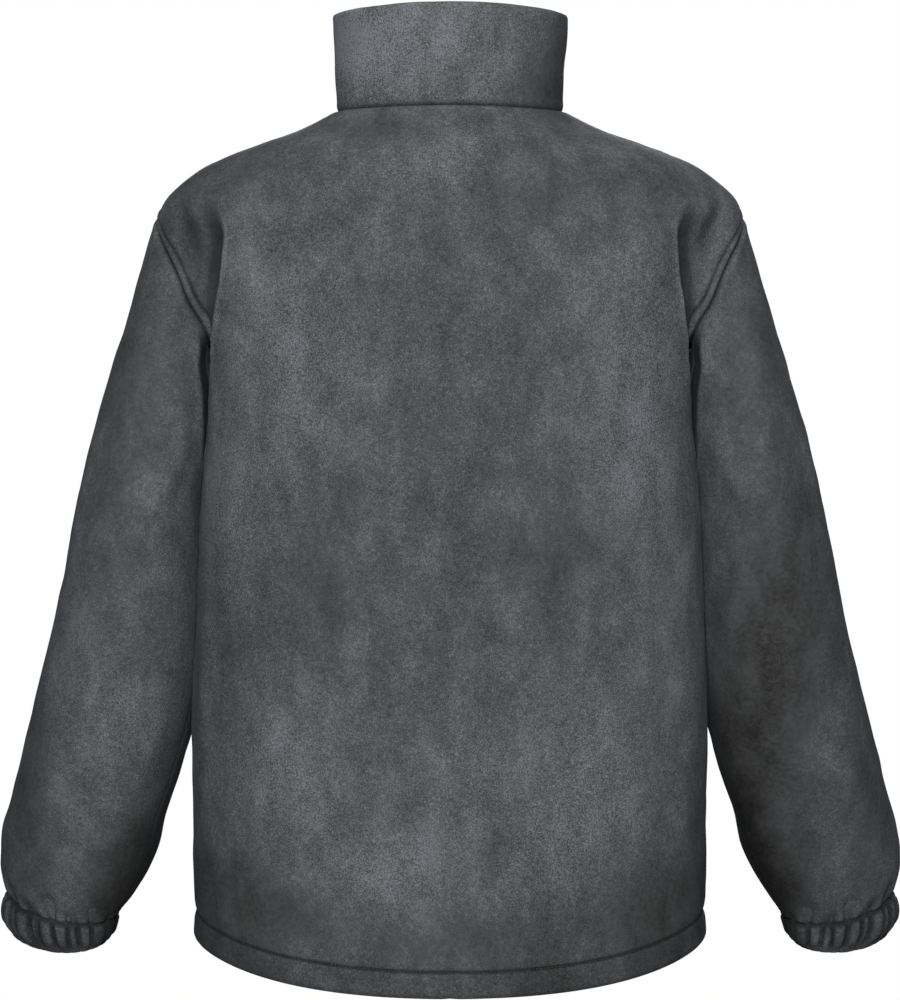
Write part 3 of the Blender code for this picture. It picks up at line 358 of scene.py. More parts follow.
SEAM_LEVELS = arm_level(np.linspace(1, 0, 160))
SEAM_X = {side: np.abs(torso_form(seam_angle(arm_way(SEAM_LEVELS), side), SEAM_LEVELS)[..., 0])
          for side in ("back", "front")}


def armhole(turn):
    """Points of the armhole seam."""
    return torso(*armhole_turned(turn))


def crevice(points, distance):
    """How far the cloth on both sides of the armhole seam is drawn in towards the middle of the body: a bell
    of the distance to the seam, between two heights."""
    y, shown = points[..., 1], in_crevice(points) * bump(distance, CREVICE_REACH)
    back, front = CREVICE_BACK * ramp(y, 0, CREVICE_Y), CREVICE_FRONT * ramp(y, 0, -CREVICE_Y)
    return np.where(y > 0, -back, front) * shown


def distance_to(points, line):
    """Distance from each point of a grid to the nearest of a line's closely set points, one row at a time."""
    return np.stack([np.linalg.norm(row[:, None] - line, axis=-1).min(axis=1) for row in points])


ARMHOLE_LINE = armhole(np.linspace(0, 1, 1200, endpoint=False))
SHOULDER_TOP = (TORSO_LEVEL["shoulder"] - 0.030, TORSO_LEVEL["shoulder"] - 0.004)  # the topstitch fades there
ARM_REACH = 0.020
CREST_SHARE_HEM, CREST_SHARE_NECK, CREST_SHARE_MOST = 0.84, 0.50, 0.93


def armhole_distance(points, level):
    """Distance to the armhole seam on either side, worked out near it only, and 1 elsewhere."""
    low, high = TORSO_LEVEL["underarm"] - ARM_REACH, TORSO_LEVEL["shoulder"] + ARM_REACH
    near = (level[:, 0] > low) & (level[:, 0] < high)
    distance = np.ones(points.shape[:-1])
    folded = np.stack([np.abs(points[near, ..., 0]), points[near, ..., 1], points[near, ..., 2]], axis=-1)
    distance[near] = distance_to(folded, ARMHOLE_LINE)
    return distance


def crest_share(level, side):
    """The drape crest's angle as a share of the panel's edge angle, where a close run of columns goes."""
    rings = dict(zip(TORSO_COLUMNS, hermite(TORSO_KNOTS, TORSO_ROWS, level).T))
    low, high = TORSO_LEVEL["underarm"], TORSO_LEVEL["shoulder"]
    crest = np.interp(rings[side + "_z"], DRAPE_CREST["z"], DRAPE_CREST[side + "_x"])
    edge = edge_angle(level, side)
    edge = edge if side == "back" else np.where(edge == math.pi / 2, edge, math.pi - edge)
    share = np.arcsin(np.minimum(crest / rings["side_x"], 0.999)) / edge
    share = np.clip(share, CREST_SHARE_NECK, CREST_SHARE_MOST)
    share_low, share_high = np.interp((low, high), level, share)
    below = np.interp(level, (0, low), (CREST_SHARE_HEM, share_low))
    above = np.interp(level, (high, level[-1]), (share_high, CREST_SHARE_NECK))
    return np.where(level > high, above, np.where(level < low, below, share)), edge


TORSO_LEVELS = np.append(runs(
    (0, TORSO_LEVEL["hem_stitch"] - 0.004, 8),
    (TORSO_LEVEL["hem_stitch"] - 0.004, TORSO_LEVEL["hem_stitch"] + 0.004, 12),
    (TORSO_LEVEL["hem_stitch"] + 0.004, TORSO_LEVEL["underarm"] - 0.010, 68),
    (TORSO_LEVEL["underarm"] - 0.010, TORSO_LEVEL["armhole_low"] - 0.010, 12),
    (TORSO_LEVEL["armhole_low"] - 0.010, TORSO_LEVEL["armhole_high"] - 0.010, 50),
    (TORSO_LEVEL["armhole_high"] - 0.010, TORSO_LEVEL["shoulder"] + 0.010, 34),
    (TORSO_LEVEL["shoulder"] + 0.010, TORSO_LEVEL["neck"] - 0.008, 32),
    (TORSO_LEVEL["neck"] - 0.008, TORSO_LEVEL["neck"], 9)), TORSO_LEVEL["neck"])
HEM_STITCH_ROW = 14  # the row of TORSO_LEVELS that lies in the hem's stitching
EDGE_COLUMNS = np.array([0.0150, 0.0124, 0.0106, 0.0094, 0.0087, 0.0080, 0.0073, 0.0066, 0.0056,
                         0.0046, 0.0036, 0.0028, 0.0021, 0.0015, 0.0010, 0.0005, 0.0])


def beside_crest(level, side, inside, outside):
    """Angles from the middle of a panel to its edge. They lie closer together at the crest, and at set
    distances from the edge, where a distance is an angle times the ring's own rate, over the cosine of its
    slant."""
    share, edge = crest_share(level, side)
    rings = hermite(TORSO_KNOTS, TORSO_ROWS, level)
    rate = np.hypot(rings[:, 2 if side == "back" else 4] * np.sin(edge), rings[:, 0] * np.cos(edge))
    slant = np.convolve(np.minimum(np.abs(np.gradient(edge, level) * rate), 1.2), np.ones(5) / 5, mode="same")
    near_edge = edge[:, None] - EDGE_COLUMNS * (np.hypot(1, slant) / rate)[:, None]
    crest = np.minimum(share * edge, near_edge[:, 0] * 0.97)[:, None]
    to_crest = 1 - (1 - np.linspace(0, 1, inside)) ** 1.25
    from_crest = np.linspace(0, 1, outside + 1)[1:-1] ** 1.7
    return crest, to_crest, np.hstack([crest + (near_edge[:, :1] - crest) * from_crest, near_edge])


def sewn_normals(surface, angle, level, seams):
    """A surface's normals, turned near a seam towards the seam's direction by a bell of the distance."""
    up = normals(surface, angle, level)
    for toward, distance in seams:
        up = unit(up + (toward - up) * bump(distance, SEAM_TURN)[..., None])
    return up


def torso_finish(points, angle, level, arm, seed):
    """What sewing does to the torso's outside: it sinks at the seams, puffs up between the armhole and its
    topstitching, and is uneven along the hem. Soft lumps of three sizes are the cloth's own waviness."""
    on_top = ramp(level, *SHOULDER_TOP)
    total = -SEAM_SINK * bump(arm, SEAM_ROUND) * (1 - CALM_SEAM_ON_TOP * on_top)
    puff = between(arm, 0.0005, 0.0035, TOPSTITCH_IN - 0.0030, TOPSTITCH_IN + 0.0010)
    stitched = TOPSTITCH_PUFF * puff - TOPSTITCH_SINK * bump(arm - TOPSTITCH_IN, TOPSTITCH_ROUND)
    total += stitched * (1 - CALM_STITCH_IN_CREVICE * in_crevice(points)) * (1 - CALM_STITCH_ON_TOP * on_top)
    above = (level > TORSO_LEVEL["shoulder"]) | (level < TORSO_LEVEL["underarm"])
    side = np.abs(np.abs(angle) - math.pi / 2) * np.abs(points[..., 0]) * SIDE_SEAM_LEAN
    total -= np.where(above, SIDE_SEAM_SINK * bump(side, SIDE_SEAM_ROUND), 0) * ramp(arm, 0.001, 0.004)
    total -= SEAM_SINK * bump(level - TORSO_LEVEL["neck"], SEAM_ROUND)
    from_stitch = level - TORSO_LEVEL["hem_stitch"]
    roped = HEM_ROPING * soft_noise(points * (1, 1, 0.3), HEM_ROPE_SIZE, seed + 5)
    total += roped * bump(from_stitch + HEM_ROPE_BELOW, HEM_ROPE_REACH)
    total += HEM_STEP * ramp(from_stitch, 0, -0.003) - HEM_SEAM_SINK * bump(from_stitch, HEM_SEAM_ROUND)
    total -= HEM_EDGE_SINK * bump(level, HEM_EDGE_ROUND)
    return total + waviness(points, BODY_WAVES, seed) * ramp(arm, 0.002, 0.012) * ramp(level, 0.0, 0.012)


def darkened(pressed_and_painted_shade, shut_in):
    """How flat the pile lies, up to 1, with the painted shade it carries, and painted shade darker still
    where it is shut in, away from the light.
    """
    return np.maximum(np.clip(pressed_and_painted_shade, 0, 1), SHUT_IN_DARK * shut_in)


# Where the pile lies against its nap, and patches of painted light and shade: x, z, half width, half
# height, how much lighter.
NAP_AND_PAINTED_LIGHT = (
    (0.078, 0.045, 0.032, 0.036, 0.41), (0.000, 0.046, 0.060, 0.034, 0.12),
    (-0.080, 0.014, 0.024, 0.022, -0.26), (0.000, -0.040, 0.050, 0.022, 0.10),
    (0.196, -0.110, 0.020, 0.040, -0.12), (0.122, -0.205, 0.042, 0.085, 0.14),
    (-0.155, -0.250, 0.038, 0.120, 0.20), (-0.080, -0.345, 0.050, 0.042, -0.12),
    (0.097, -0.370, 0.034, 0.065, -0.12), (0.176, -0.335, 0.045, 0.075, 0.14),
    (-0.115, -0.530, 0.050, 0.058, 0.14), (0.132, -0.530, 0.045, 0.050, 0.13),
    (0.056, -0.600, 0.034, 0.030, 0.13), (0.172, -0.640, 0.040, 0.042, -0.22),
    (-0.160, -0.645, 0.042, 0.036, -0.20), (0.000, -0.655, 0.060, 0.024, -0.18),
    (0.255, -0.220, 0.046, 0.090, -0.16), (0.290, -0.345, 0.044, 0.085, -0.10),
    (0.265, -0.500, 0.030, 0.036, 0.14), (0.353, -0.560, 0.023, 0.085, -0.20),
    (0.244, -0.632, 0.042, 0.052, -0.22), (-0.250, -0.200, 0.048, 0.085, -0.18),
    (-0.266, -0.450, 0.036, 0.110, -0.42), (-0.243, -0.622, 0.044, 0.056, -0.30),
    (-0.352, -0.570, 0.024, 0.085, -0.17), (-0.230, -0.560, 0.022, 0.060, -0.16),
    (-0.058, -0.062, 0.035, 0.030, -0.10), (0.272, -0.655, 0.030, 0.034, -0.24),
    (-0.272, -0.655, 0.030, 0.036, -0.30), (0.115, -0.638, 0.045, 0.020, -0.14),
    (0.098, 0.062, 0.020, 0.022, 0.54), (0.060, -0.018, 0.050, 0.013, -0.14),
    (-0.142, -0.072, 0.040, 0.034, -0.08), (-0.140, -0.335, 0.026, 0.030, -0.10),
    (-0.020, -0.522, 0.024, 0.030, 0.10), (-0.092, 0.030, 0.020, 0.034, -0.22),
    (0.158, -0.056, 0.026, 0.022, -0.08), (-0.085, -0.590, 0.040, 0.035, 0.09),
)


def nap_and_painted_light(points):
    """0.5 where the pile lies plainly, and more where it is lighter, by its brushed pile and by painted
    light:
    a bell across and down for each patch. The patches go through from the back to the front."""
    x, _, z = points.T
    total = np.full(len(points), 0.5)
    # Some patches are painted light and shade, lighter or darker where the jacket's form is lit or shaded.
    for at_x, at_z, wide, high, lighter in NAP_AND_PAINTED_LIGHT:
        total += lighter * bump(x - at_x, wide) * bump(z - at_z, high)
    return total


def turned_edge(outer, inner, beyond):
    """The round edge of turned cloth: three rows on a half circle from the outer skin to the inner."""
    middle, half = (outer + inner) / 2, (outer - inner) / 2
    out = unit(beyond) * np.linalg.norm(half, axis=-1, keepdims=True)
    return [middle + half * math.cos(t) + out * math.sin(t) for t in np.radians((45, 90, 135))]


def solid(name, points, faces, material, mirrored=False):
    """One object of these points and faces. Mirrored, it is the wearer's right of a left piece."""
    if mirrored:
        points, faces = points * (-1, 1, 1), [face[::-1] for face in faces]
    mesh = bpy.data.meshes.new(name)
    mesh.from_pydata(points.tolist(), [], faces)
    mesh.materials.append(material)
    obj = bpy.data.objects.new(name, mesh)
    bpy.context.scene.collection.objects.link(obj)
    return obj


def cloth(name, outer, inner, material, tube=False, start=False, end=False, mirrored=False, pressed_and_painted_shade=0.0,
          lighter=0.0):
    """A closed piece of cloth. Its rows run along the outer skin, round a turned end, back along the inner
    skin and round a turned start. On the outer skin, one value is how flat the pile lies, with painted shade
    where it lies shut in or shaded, and lighter is a painted highlight added on top of the pile's patches."""
    count, columns = outer.shape[:2]
    ends = turned_edge(outer[-1], inner[-1], outer[-1] - outer[-2]) if end else []
    starts = turned_edge(inner[0], outer[0], outer[0] - outer[1]) if start else []
    points = np.stack([*outer, *ends, *inner[::-1], *starts])
    rows = len(points)
    index = np.arange(rows * columns).reshape(rows, columns)
    below, right = np.roll(index, -1, axis=0), np.roll(index, -1, axis=1)
    quads = np.stack([index, below, np.roll(below, -1, axis=1), right], axis=-1)
    faces = (quads if tube else quads[:, :-1]).reshape(-1, 4).tolist()
    if not tube:
        turned = 2 * count + len(ends) - 1
        for column, order in ((0, 1), (columns - 1, -1)):
            line = index[:, column].tolist()
            caps = [[line[r], line[turned - r], line[turned - r - 1], line[r + 1]] for r in range(count - 1)]
            if ends:
                caps.append(line[count - 1:count + len(ends) + 1][::-1])
            if starts:
                caps.append([line[turned], line[0], *line[turned + 1:][::-1]])
            faces += [face[::order] for face in caps]
    flat = points.reshape(-1, 3)
    obj = solid(name, flat, faces, material, mirrored)
    obj.data.shade_smooth()
    obj.data.set_sharp_from_angle(angle=math.radians(60))
    # Flat pile at seams and stitches, and painted shade, on the outer skin only.
    flat_and_shaded_pile = np.zeros((rows, columns))
    flat_and_shaded_pile[:count] = pressed_and_painted_shade
    # Patches of brushed pile and painted light and shade, with the painted highlight added on the outer skin.
    painted_light_and_nap = nap_and_painted_light(flat * ((-1, 1, 1) if mirrored else 1)).reshape(rows, columns)
    painted_light_and_nap[:count] += lighter
    for key, values in (("pressed_and_painted_shade", flat_and_shaded_pile), ("nap_and_painted_light", painted_light_and_nap)):
        data = obj.data.attributes.new(key, "FLOAT", "POINT").data
        data.foreach_set("value", values.ravel().astype(np.float32))
    return obj


def sockets(tree, inputs, outputs):
    """Gives a node group its named inputs, with their values, and its named outputs."""
    for kind, names in (("INPUT", inputs), ("OUTPUT", outputs)):
        for name, (form, value) in names.items():
            socket = tree.interface.new_socket(name, in_out=kind, socket_type="NodeSocket" + form)
            if value is not None:
                socket.default_value = value
    return tree.nodes.new("NodeGroupInput").outputs, tree.nodes.new("NodeGroupOutput").inputs


def noise(tree, vector, scale, detail, roughness=0.5, distortion=0.0):
    """Lumps over a vector, 0 to 1 with their middle at 0.5."""
    node = tree.nodes.new("ShaderNodeTexNoise")
    values = {"Scale": scale, "Detail": detail, "Roughness": roughness, "Distortion": distortion}
    for name, value in values.items():
        node.inputs[name].default_value = value
    tree.links.new(vector, node.inputs["Vector"])
    return node.outputs["Fac"]


def stretched(tree, vector, scale):
    """A vector times a scale for each axis."""
    node = tree.nodes.new("ShaderNodeMapping")
    node.inputs["Scale"].default_value = scale
    tree.links.new(vector, node.inputs["Vector"])
    return node.outputs["Vector"]


def sum_of(tree, start, *terms):
    """start plus each value less its middle, 0.5, times its gain."""
    total = start
    for value, gain in terms:
        less, add = tree.nodes.new("ShaderNodeMath"), tree.nodes.new("ShaderNodeMath")
        less.operation, add.operation = "SUBTRACT", "MULTIPLY_ADD"
        less.inputs[1].default_value = 0.5
        tree.links.new(value, less.inputs[0])
        tree.links.new(less.outputs[0], add.inputs[0])
        for socket, source in ((add.inputs[1], gain), (add.inputs[2], total)):
            if isinstance(source, (int, float)):
                socket.default_value = source
            else:
                tree.links.new(source, socket)
        total = add.outputs[0]
    return total


def shaded(name, values):
    """A new material, its nodes, its shader with these values, and the place on the piece."""
    material = bpy.data.materials.new(name)
    material.use_nodes = True
    tree = material.node_tree
    shader = tree.nodes["Principled BSDF"]
    for socket, value in values.items():
        shader.inputs[socket].default_value = value
    return material, tree, shader, tree.nodes.new("ShaderNodeTexCoord").outputs["Object"]


def coloured(tree, value, *colours):
    """The colour that a value picks from these, which are spread evenly from 0 to 1."""
    node = tree.nodes.new("ShaderNodeValToRGB")
    stops = node.color_ramp.elements
    stops[0].color, stops[1].color = (*colours[0], 1), (*colours[-1], 1)
    for number, colour in enumerate(colours[1:-1], 1):
        stops.new(number / (len(colours) - 1)).color = (*colour, 1)
    tree.links.new(value, node.inputs["Fac"])
    return node.outputs["Color"]


def dented(tree, shader, height, strength, distance):
    """Fine relief on a shader."""
    node = tree.nodes.new("ShaderNodeBump")
    node.inputs["Strength"].default_value, node.inputs["Distance"].default_value = strength, distance
    tree.links.new(height, node.inputs["Height"])
    tree.links.new(node.outputs["Normal"], shader.inputs["Normal"])


def painted_on(tree, name):
    """A value that goes with each point of the mesh."""
    node = tree.nodes.new("ShaderNodeAttribute")
    node.attribute_name = name
    return node.outputs["Fac"]


def pile_group():
    """Brushed fleece: tufts of one and four millimetres, and the shading of the nap where it was stroked."""
    tree = bpy.data.node_groups.new("fleece pile", "ShaderNodeTree")
    given, made = sockets(tree, {"Vector": ("Vector", None), "Tufts": ("Float", 1.1), "Nap": ("Float", 1.0)},
                          {"Tone": ("Float", None), "Height": ("Float", None)})
    fine = noise(tree, given["Vector"], 950, 1.0, 0.7)
    clump = noise(tree, given["Vector"], 260, 2.0, 0.5, 0.3)
    stroke = noise(tree, stretched(tree, given["Vector"], (1, 1, 0.6)), 45, 3.0, 0.5, 0.3)
    cloud = noise(tree, stretched(tree, given["Vector"], (1, 1, 0.35)), 11, 2.0, 0.5)
    tufts = sum_of(tree, 0.5, (fine, given["Tufts"]), (clump, 0.38))
    tree.links.new(sum_of(tree, tufts, (stroke, given["Nap"]), (cloud, given["Nap"])), made["Tone"])
    tree.links.new(sum_of(tree, 0.5, (fine, 0.5), (clump, 0.8)), made["Height"])
    return tree


PILE = pile_group()
PILE_DEEP, PILE_MIDDLE, PILE_LIT = (0.017, 0.0165, 0.016), (0.082, 0.084, 0.087), (0.215, 0.228, 0.252)
PILE_TUFTS, PILE_NAP, PILE_TUFTS_LIGHTER = 1.1, 0.55, 4.0
PRESSED_SHARE, PRESSED_SHADE = 0.80, (0.12, 0.12, 0.12, 1)


def fleece_material():
    """Heathered fleece. The pile's tone and its patches of brushed pile and painted light and shade pick its
    colour, and where these are lighter the tufts show more. Where the pile lies flat or has painted shade,
    the colour is multiplied by a dark one."""
    material, tree, shader, place = shaded("fleece", {
        "Roughness": 0.92, "Specular IOR Level": 0.15, "Sheen Weight": 0.03, "Sheen Roughness": 0.45,
        "Sheen Tint": (0.60, 0.66, 0.78, 1.0)})
    pile = tree.nodes.new("ShaderNodeGroup")
    pile.node_tree = PILE
    pile.inputs["Nap"].default_value = PILE_NAP
    tree.links.new(place, pile.inputs["Vector"])
    # The patches of brushed pile and painted light and shade, read from the mesh.
    painted_light_and_nap = painted_on(tree, "nap_and_painted_light")
    tree.links.new(sum_of(tree, PILE_TUFTS, (painted_light_and_nap, PILE_TUFTS_LIGHTER)), pile.inputs["Tufts"])
    colour = coloured(tree, sum_of(tree, pile.outputs["Tone"], (painted_light_and_nap, 1.0)), PILE_DEEP, PILE_MIDDLE, PILE_LIT)
    # Flat pile and painted shade multiply the colour towards the dark shade colour.
    share = tree.nodes.new("ShaderNodeMath")
    share.operation = "MULTIPLY"
    share.inputs[1].default_value = PRESSED_SHARE
    tree.links.new(painted_on(tree, "pressed_and_painted_shade"), share.inputs[0])
    shade = tree.nodes.new("ShaderNodeMix")
    shade.data_type, shade.blend_type = "RGBA", "MULTIPLY"
    shade.inputs[7].default_value = PRESSED_SHADE  # its colour sockets are 6 and 7, and 2 comes out
    tree.links.new(share.outputs[0], shade.inputs["Factor"])
    tree.links.new(colour, shade.inputs[6])
    tree.links.new(shade.outputs[2], shader.inputs["Base Color"])
    dented(tree, shader, pile.outputs["Height"], 0.18, 0.0008)
    return material


fleece = fleece_material()


# ---- thread: short round stitches laid along a line, a little sunk at both ends
STITCH_PITCH, STITCH_LENGTH = 0.0031, 0.0026
THREAD_RADIUS, THREAD_FLAT, THREAD_PROUD, THREAD_ARCH = 0.00026, 1.15, 0.00012, 0.00018


def along(line, distances):
    """Places at set distances along a line. Its rows are points, then what goes with each point."""
    walked = np.concatenate([[0], np.cumsum(np.linalg.norm(np.diff(line[:, :3], axis=0), axis=1))])
    columns = [np.interp(distances, walked, column) for column in line.T]
    return np.stack(columns, axis=1), walked[-1]


def stitching(name, line, up, mirrored=False):
    """A row of stitches. Each is a tube of five rings of six points: its rings go from end to end along the
    line, its radius and height fall by the root of one less the square of the place in the stitch."""
    _, length = along(line, np.zeros(1))
    starts = np.arange(STITCH_PITCH / 2, length - STITCH_PITCH / 2, STITCH_PITCH)
    place = np.linspace(-1, 1, 5)
    middle, _ = along(np.hstack([line, up]), (starts[:, None] + place * STITCH_LENGTH / 2).ravel())
    middle = middle.reshape(len(starts), 5, 6)
    centre, out = middle[..., :3], unit(middle[..., 3:])
    side = unit(np.cross(unit(np.gradient(centre, axis=1)), out))
    fall = np.sqrt(np.maximum(1 - (place * 0.93) ** 2, 0))[:, None, None]
    turn = np.radians(np.arange(6) * 60)[:, None]
    ring = side[:, :, None] * np.cos(turn) * THREAD_FLAT + out[:, :, None] * np.sin(turn)
    proud = THREAD_PROUD + THREAD_ARCH * (fall - 0.6)
    points = centre[:, :, None] + out[:, :, None] * proud + ring * THREAD_RADIUS * fall
    index = np.arange(len(starts) * 30).reshape(-1, 5, 6)
    on = np.roll(index, -1, axis=2)
    walls = np.stack([index[:, 1:], on[:, 1:], on[:, :-1], index[:, :-1]], axis=-1).reshape(-1, 4)
    faces = walls.tolist() + index[:, 0].tolist() + index[:, -1, ::-1].tolist()
    obj = solid(name, points.reshape(-1, 3), faces, thread, mirrored)
    obj.data.shade_smooth()
    return obj


def thread_material():
    """Spun polyester thread, near black, with the twist of its plies as fine slanting bands."""
    material, tree, shader, place = shaded("thread", {"Roughness": 0.62})
    twist = tree.nodes.new("ShaderNodeTexWave")
    twist.bands_direction = "DIAGONAL"
    twist.inputs["Scale"].default_value = 900
    tree.links.new(place, twist.inputs["Vector"])
    colour = coloured(tree, twist.outputs["Fac"], (0.016, 0.017, 0.019), (0.052, 0.054, 0.058))
    tree.links.new(colour, shader.inputs["Base Color"])
    return material


thread = thread_material()


# The collar's table stands here, because the neck seam turns the back's wall towards the collar's.
COLLAR = {
    "seam": TORSO["neck"],
    "stand": (0.0927, 0.0190, 0.0655, 0.0210, -0.0765, -0.0320),
    "middle": (0.0932, 0.0390, 0.0680, 0.0410, -0.0795, -0.0130),
    "flare": (0.0947, 0.0590, 0.0710, 0.0610, -0.0820, 0.0070),
    "top": (0.0957, 0.0748, 0.0735, 0.0782, -0.0840, 0.0225),
}
COLLAR_KNOTS = way_knots(COLLAR)
collar_form = ring_surface(COLLAR, COLLAR_KNOTS)


# The sleeve's table stands here for the same reason, for the armhole seam.
SLEEVE = {  # the wearer's left: the ring's outer and inner end, its middle, half its depth, its back's drop
    "cap": (0.2540, -0.1330, 0.2034, -0.2935, -0.0020, 0.0500, 0.0),
    "cap_low": (0.2690, -0.1805, 0.2050, -0.3050, -0.0080, 0.0600, 0.0),
    "bicep_top": (0.2844, -0.2288, 0.2062, -0.3210, -0.0140, 0.0670, 0.0),
    "bicep": (0.2977, -0.2735, 0.2070, -0.3460, -0.0190, 0.0700, 0.0),
    "upper": (0.3085, -0.3180, 0.2082, -0.3740, -0.0220, 0.0700, 0.0),
    "elbow_top": (0.3192, -0.3679, 0.2090, -0.4080, -0.0265, 0.0680, 0.001),
    "elbow": (0.3290, -0.4130, 0.2105, -0.4460, -0.0310, 0.0645, 0.002),
    "forearm_top": (0.3430, -0.4650, 0.2145, -0.4950, -0.0370, 0.0590, 0.004),
    "forearm": (0.3588, -0.5220, 0.2275, -0.5440, -0.0450, 0.0530, 0.007),
    "blouse_top": (0.3709, -0.5680, 0.2430, -0.5870, -0.0530, 0.0500, 0.009),
    "blouse": (0.3810, -0.5990, 0.2488, -0.6150, -0.0600, 0.0480, 0.010),
    "blouse_low": (0.3842, -0.6240, 0.2592, -0.6390, -0.0650, 0.0460, 0.011),
    "gather": (0.3832, -0.6440, 0.2732, -0.6605, -0.0680, 0.0420, 0.011),
    "cuff_seam": (0.3776, -0.6565, 0.2856, -0.6755, -0.0700, 0.0370, 0.011),
}
SLEEVE_ROUND = np.linspace(0, 1, 36, endpoint=False)


def arm_ring(row, turn):
    """A tilted ellipse. x and z go from the outer to the inner end with the cosine of the turn, and y goes
    with its sine."""
    outer_x, outer_z, inner_x, inner_z, mid_y, half_depth, back_drop = row
    out, back = np.cos(2 * np.pi * turn), np.sin(2 * np.pi * turn)
    x = (outer_x + inner_x) / 2 + (outer_x - inner_x) / 2 * out
    z = (outer_z + inner_z) / 2 + (outer_z - inner_z) / 2 * out - back_drop * back
    return np.stack([x, mid_y + half_depth * back, z], axis=-1)


def sleeve_rings(turn):
    """The armhole, then the rings of the table."""
    return [armhole(turn)] + [arm_ring(row, turn) for row in SLEEVE.values()]


def centre_knots(rings):
    """Distance along the line through the middles of the rings."""
    middles = np.array([ring.mean(axis=0) for ring in rings])
    return np.concatenate([[0], np.cumsum(np.linalg.norm(np.diff(middles, axis=0), axis=1))])


SLEEVE_KNOTS = centre_knots(sleeve_rings(SLEEVE_ROUND))
SLEEVE_END = SLEEVE_KNOTS[-1]


def sleeve_base(turn, way):
    """The smooth tube through the sleeve's rings, by the turn round it and the way down it."""
    return hermite(SLEEVE_KNOTS, np.stack(sleeve_rings(turn)), way)


SEAM_TURNS = np.linspace(0, 1, 240, endpoint=False)
SEAM_SLEEVE_UP = normals(sleeve_base, SEAM_TURNS, np.full(240, 0.0005))


def armhole_seam_normal(turn):
    """Middle direction between the torso's and the sleeve's normals along the armhole seam."""
    sleeve_up = [np.interp(turn % 1.0, SEAM_TURNS, SEAM_SLEEVE_UP[:, k], period=1.0) for k in range(3)]
    return unit(unit(np.stack(sleeve_up, axis=-1)) + normals(torso, *armhole_turned(turn)))


def neck_seam_normal(angle):
    """Middle direction between the torso's and the collar's normals along the neck seam."""
    return unit(normals(collar_form, angle, np.zeros(angle.shape))
                + normals(torso, angle, np.full(angle.shape, TORSO_LEVEL["neck"])))


def torso_skins(angle, level, turn, seed, edge_relief=0.0, edge_pressed=0.0):
    """Outer and inner skin of a torso panel, how flat its pile lies with its painted shade, its normals, and
    the painted highlight on the crest of its fold. turn is the place round the armhole that a row ends at."""
    level = np.broadcast_to(level, angle.shape)
    points, form = torso(angle, level), torso_form(angle, level)
    arm = armhole_distance(points, level)
    from_stitch, from_neck = level - TORSO_LEVEL["hem_stitch"], TORSO_LEVEL["neck"] - level
    mirror = np.where(points[..., :1] < 0, (-1, 1, 1), 1)
    arm_up = armhole_seam_normal(np.broadcast_to(turn, angle.shape)) * mirror
    neck_up = neck_seam_normal(np.broadcast_to(angle[-1], angle.shape))
    up = sewn_normals(torso, angle, level, ((neck_up, from_neck), (arm_up, arm)))
    in_hole = in_pit(points)
    hole = -np.maximum(points[..., 1] - PIT_Y, 0) * in_hole
    sunk = crevice(points, arm)
    points = points + np.where(points[..., 1] > 0, np.minimum(sunk, hole), sunk)[..., None] * (0, 1, 0)
    outer = points + up * (torso_finish(points, angle, level, arm, seed) + edge_relief)[..., None]
    inner = points - up * (FLEECE + (HEM_CLOTH - FLEECE) * ramp(from_stitch, 0.0006, 0))[..., None]

    past = past_crest(form) - LAP_DROP
    lapped = between(form[..., 2], *LAP_Z) * ramp(np.abs(form[..., 1]), *LAP_Y)
    # Painted shadow in the fold's hollow, fading away from the crest.
    fold_shadow = LAP_SHADOW * ramp(past, -0.0004, 0.0006) * np.exp(-np.maximum(past, 0) / LAP_SHADOW_REACH)
    pressed_and_painted_shade = bump(arm, SEAM_PRESSED) + STITCH_PRESSED * bump(arm - TOPSTITCH_IN, STITCH_PRESSED_ROUND)
    pressed_and_painted_shade = pressed_and_painted_shade + edge_pressed + lapped * ramp(arm, 0.003, 0.010) * fold_shadow
    pressed_and_painted_shade = pressed_and_painted_shade + bump(from_neck, SEAM_PRESSED)
    pressed_and_painted_shade = pressed_and_painted_shade + HEM_STITCH_PRESSED * bump(from_stitch, HEM_STITCH_PRESSED_ROUND)
    # Painted shade over the hem band, with its pressed pile.
    pressed_and_painted_shade = pressed_and_painted_shade + HEM_PRESSED_AND_SHADED * ramp(from_stitch, 0.004, -0.002)
    # Painted highlight along the crest of the fold.
    wear_and_painted_highlight = LAP_HIGHLIGHT * lapped * bump(past + 0.0020, 0.0032) * ramp(past, 0.0002, -0.0004)
    # Painted shade, darkest in the pit behind the underarm.
    return outer, inner, darkened(pressed_and_painted_shade, in_hole), up, wear_and_painted_highlight


ROWS, BACK_SEED = TORSO_LEVELS[:, None], 11
crest, to_crest, beyond = beside_crest(TORSO_LEVELS, "back", 52, 30)
back_half = np.hstack([crest * to_crest, beyond])
back_angles = np.hstack([-back_half[:, :0:-1], back_half])
outer, inner, pressed_and_painted_shade, up, wear_and_painted_highlight = torso_skins(back_angles, ROWS, arm_way(ROWS) / 2, BACK_SEED)
back = cloth("back_panel", outer, inner, fleece, start=True, pressed_and_painted_shade=pressed_and_painted_shade, lighter=wear_and_painted_highlight)
hem_back = stitching("hem_stitching_back", outer[HEM_STITCH_ROW], up[HEM_STITCH_ROW])
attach(back, "jacket")
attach(hem_back, "jacket")
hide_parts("back")


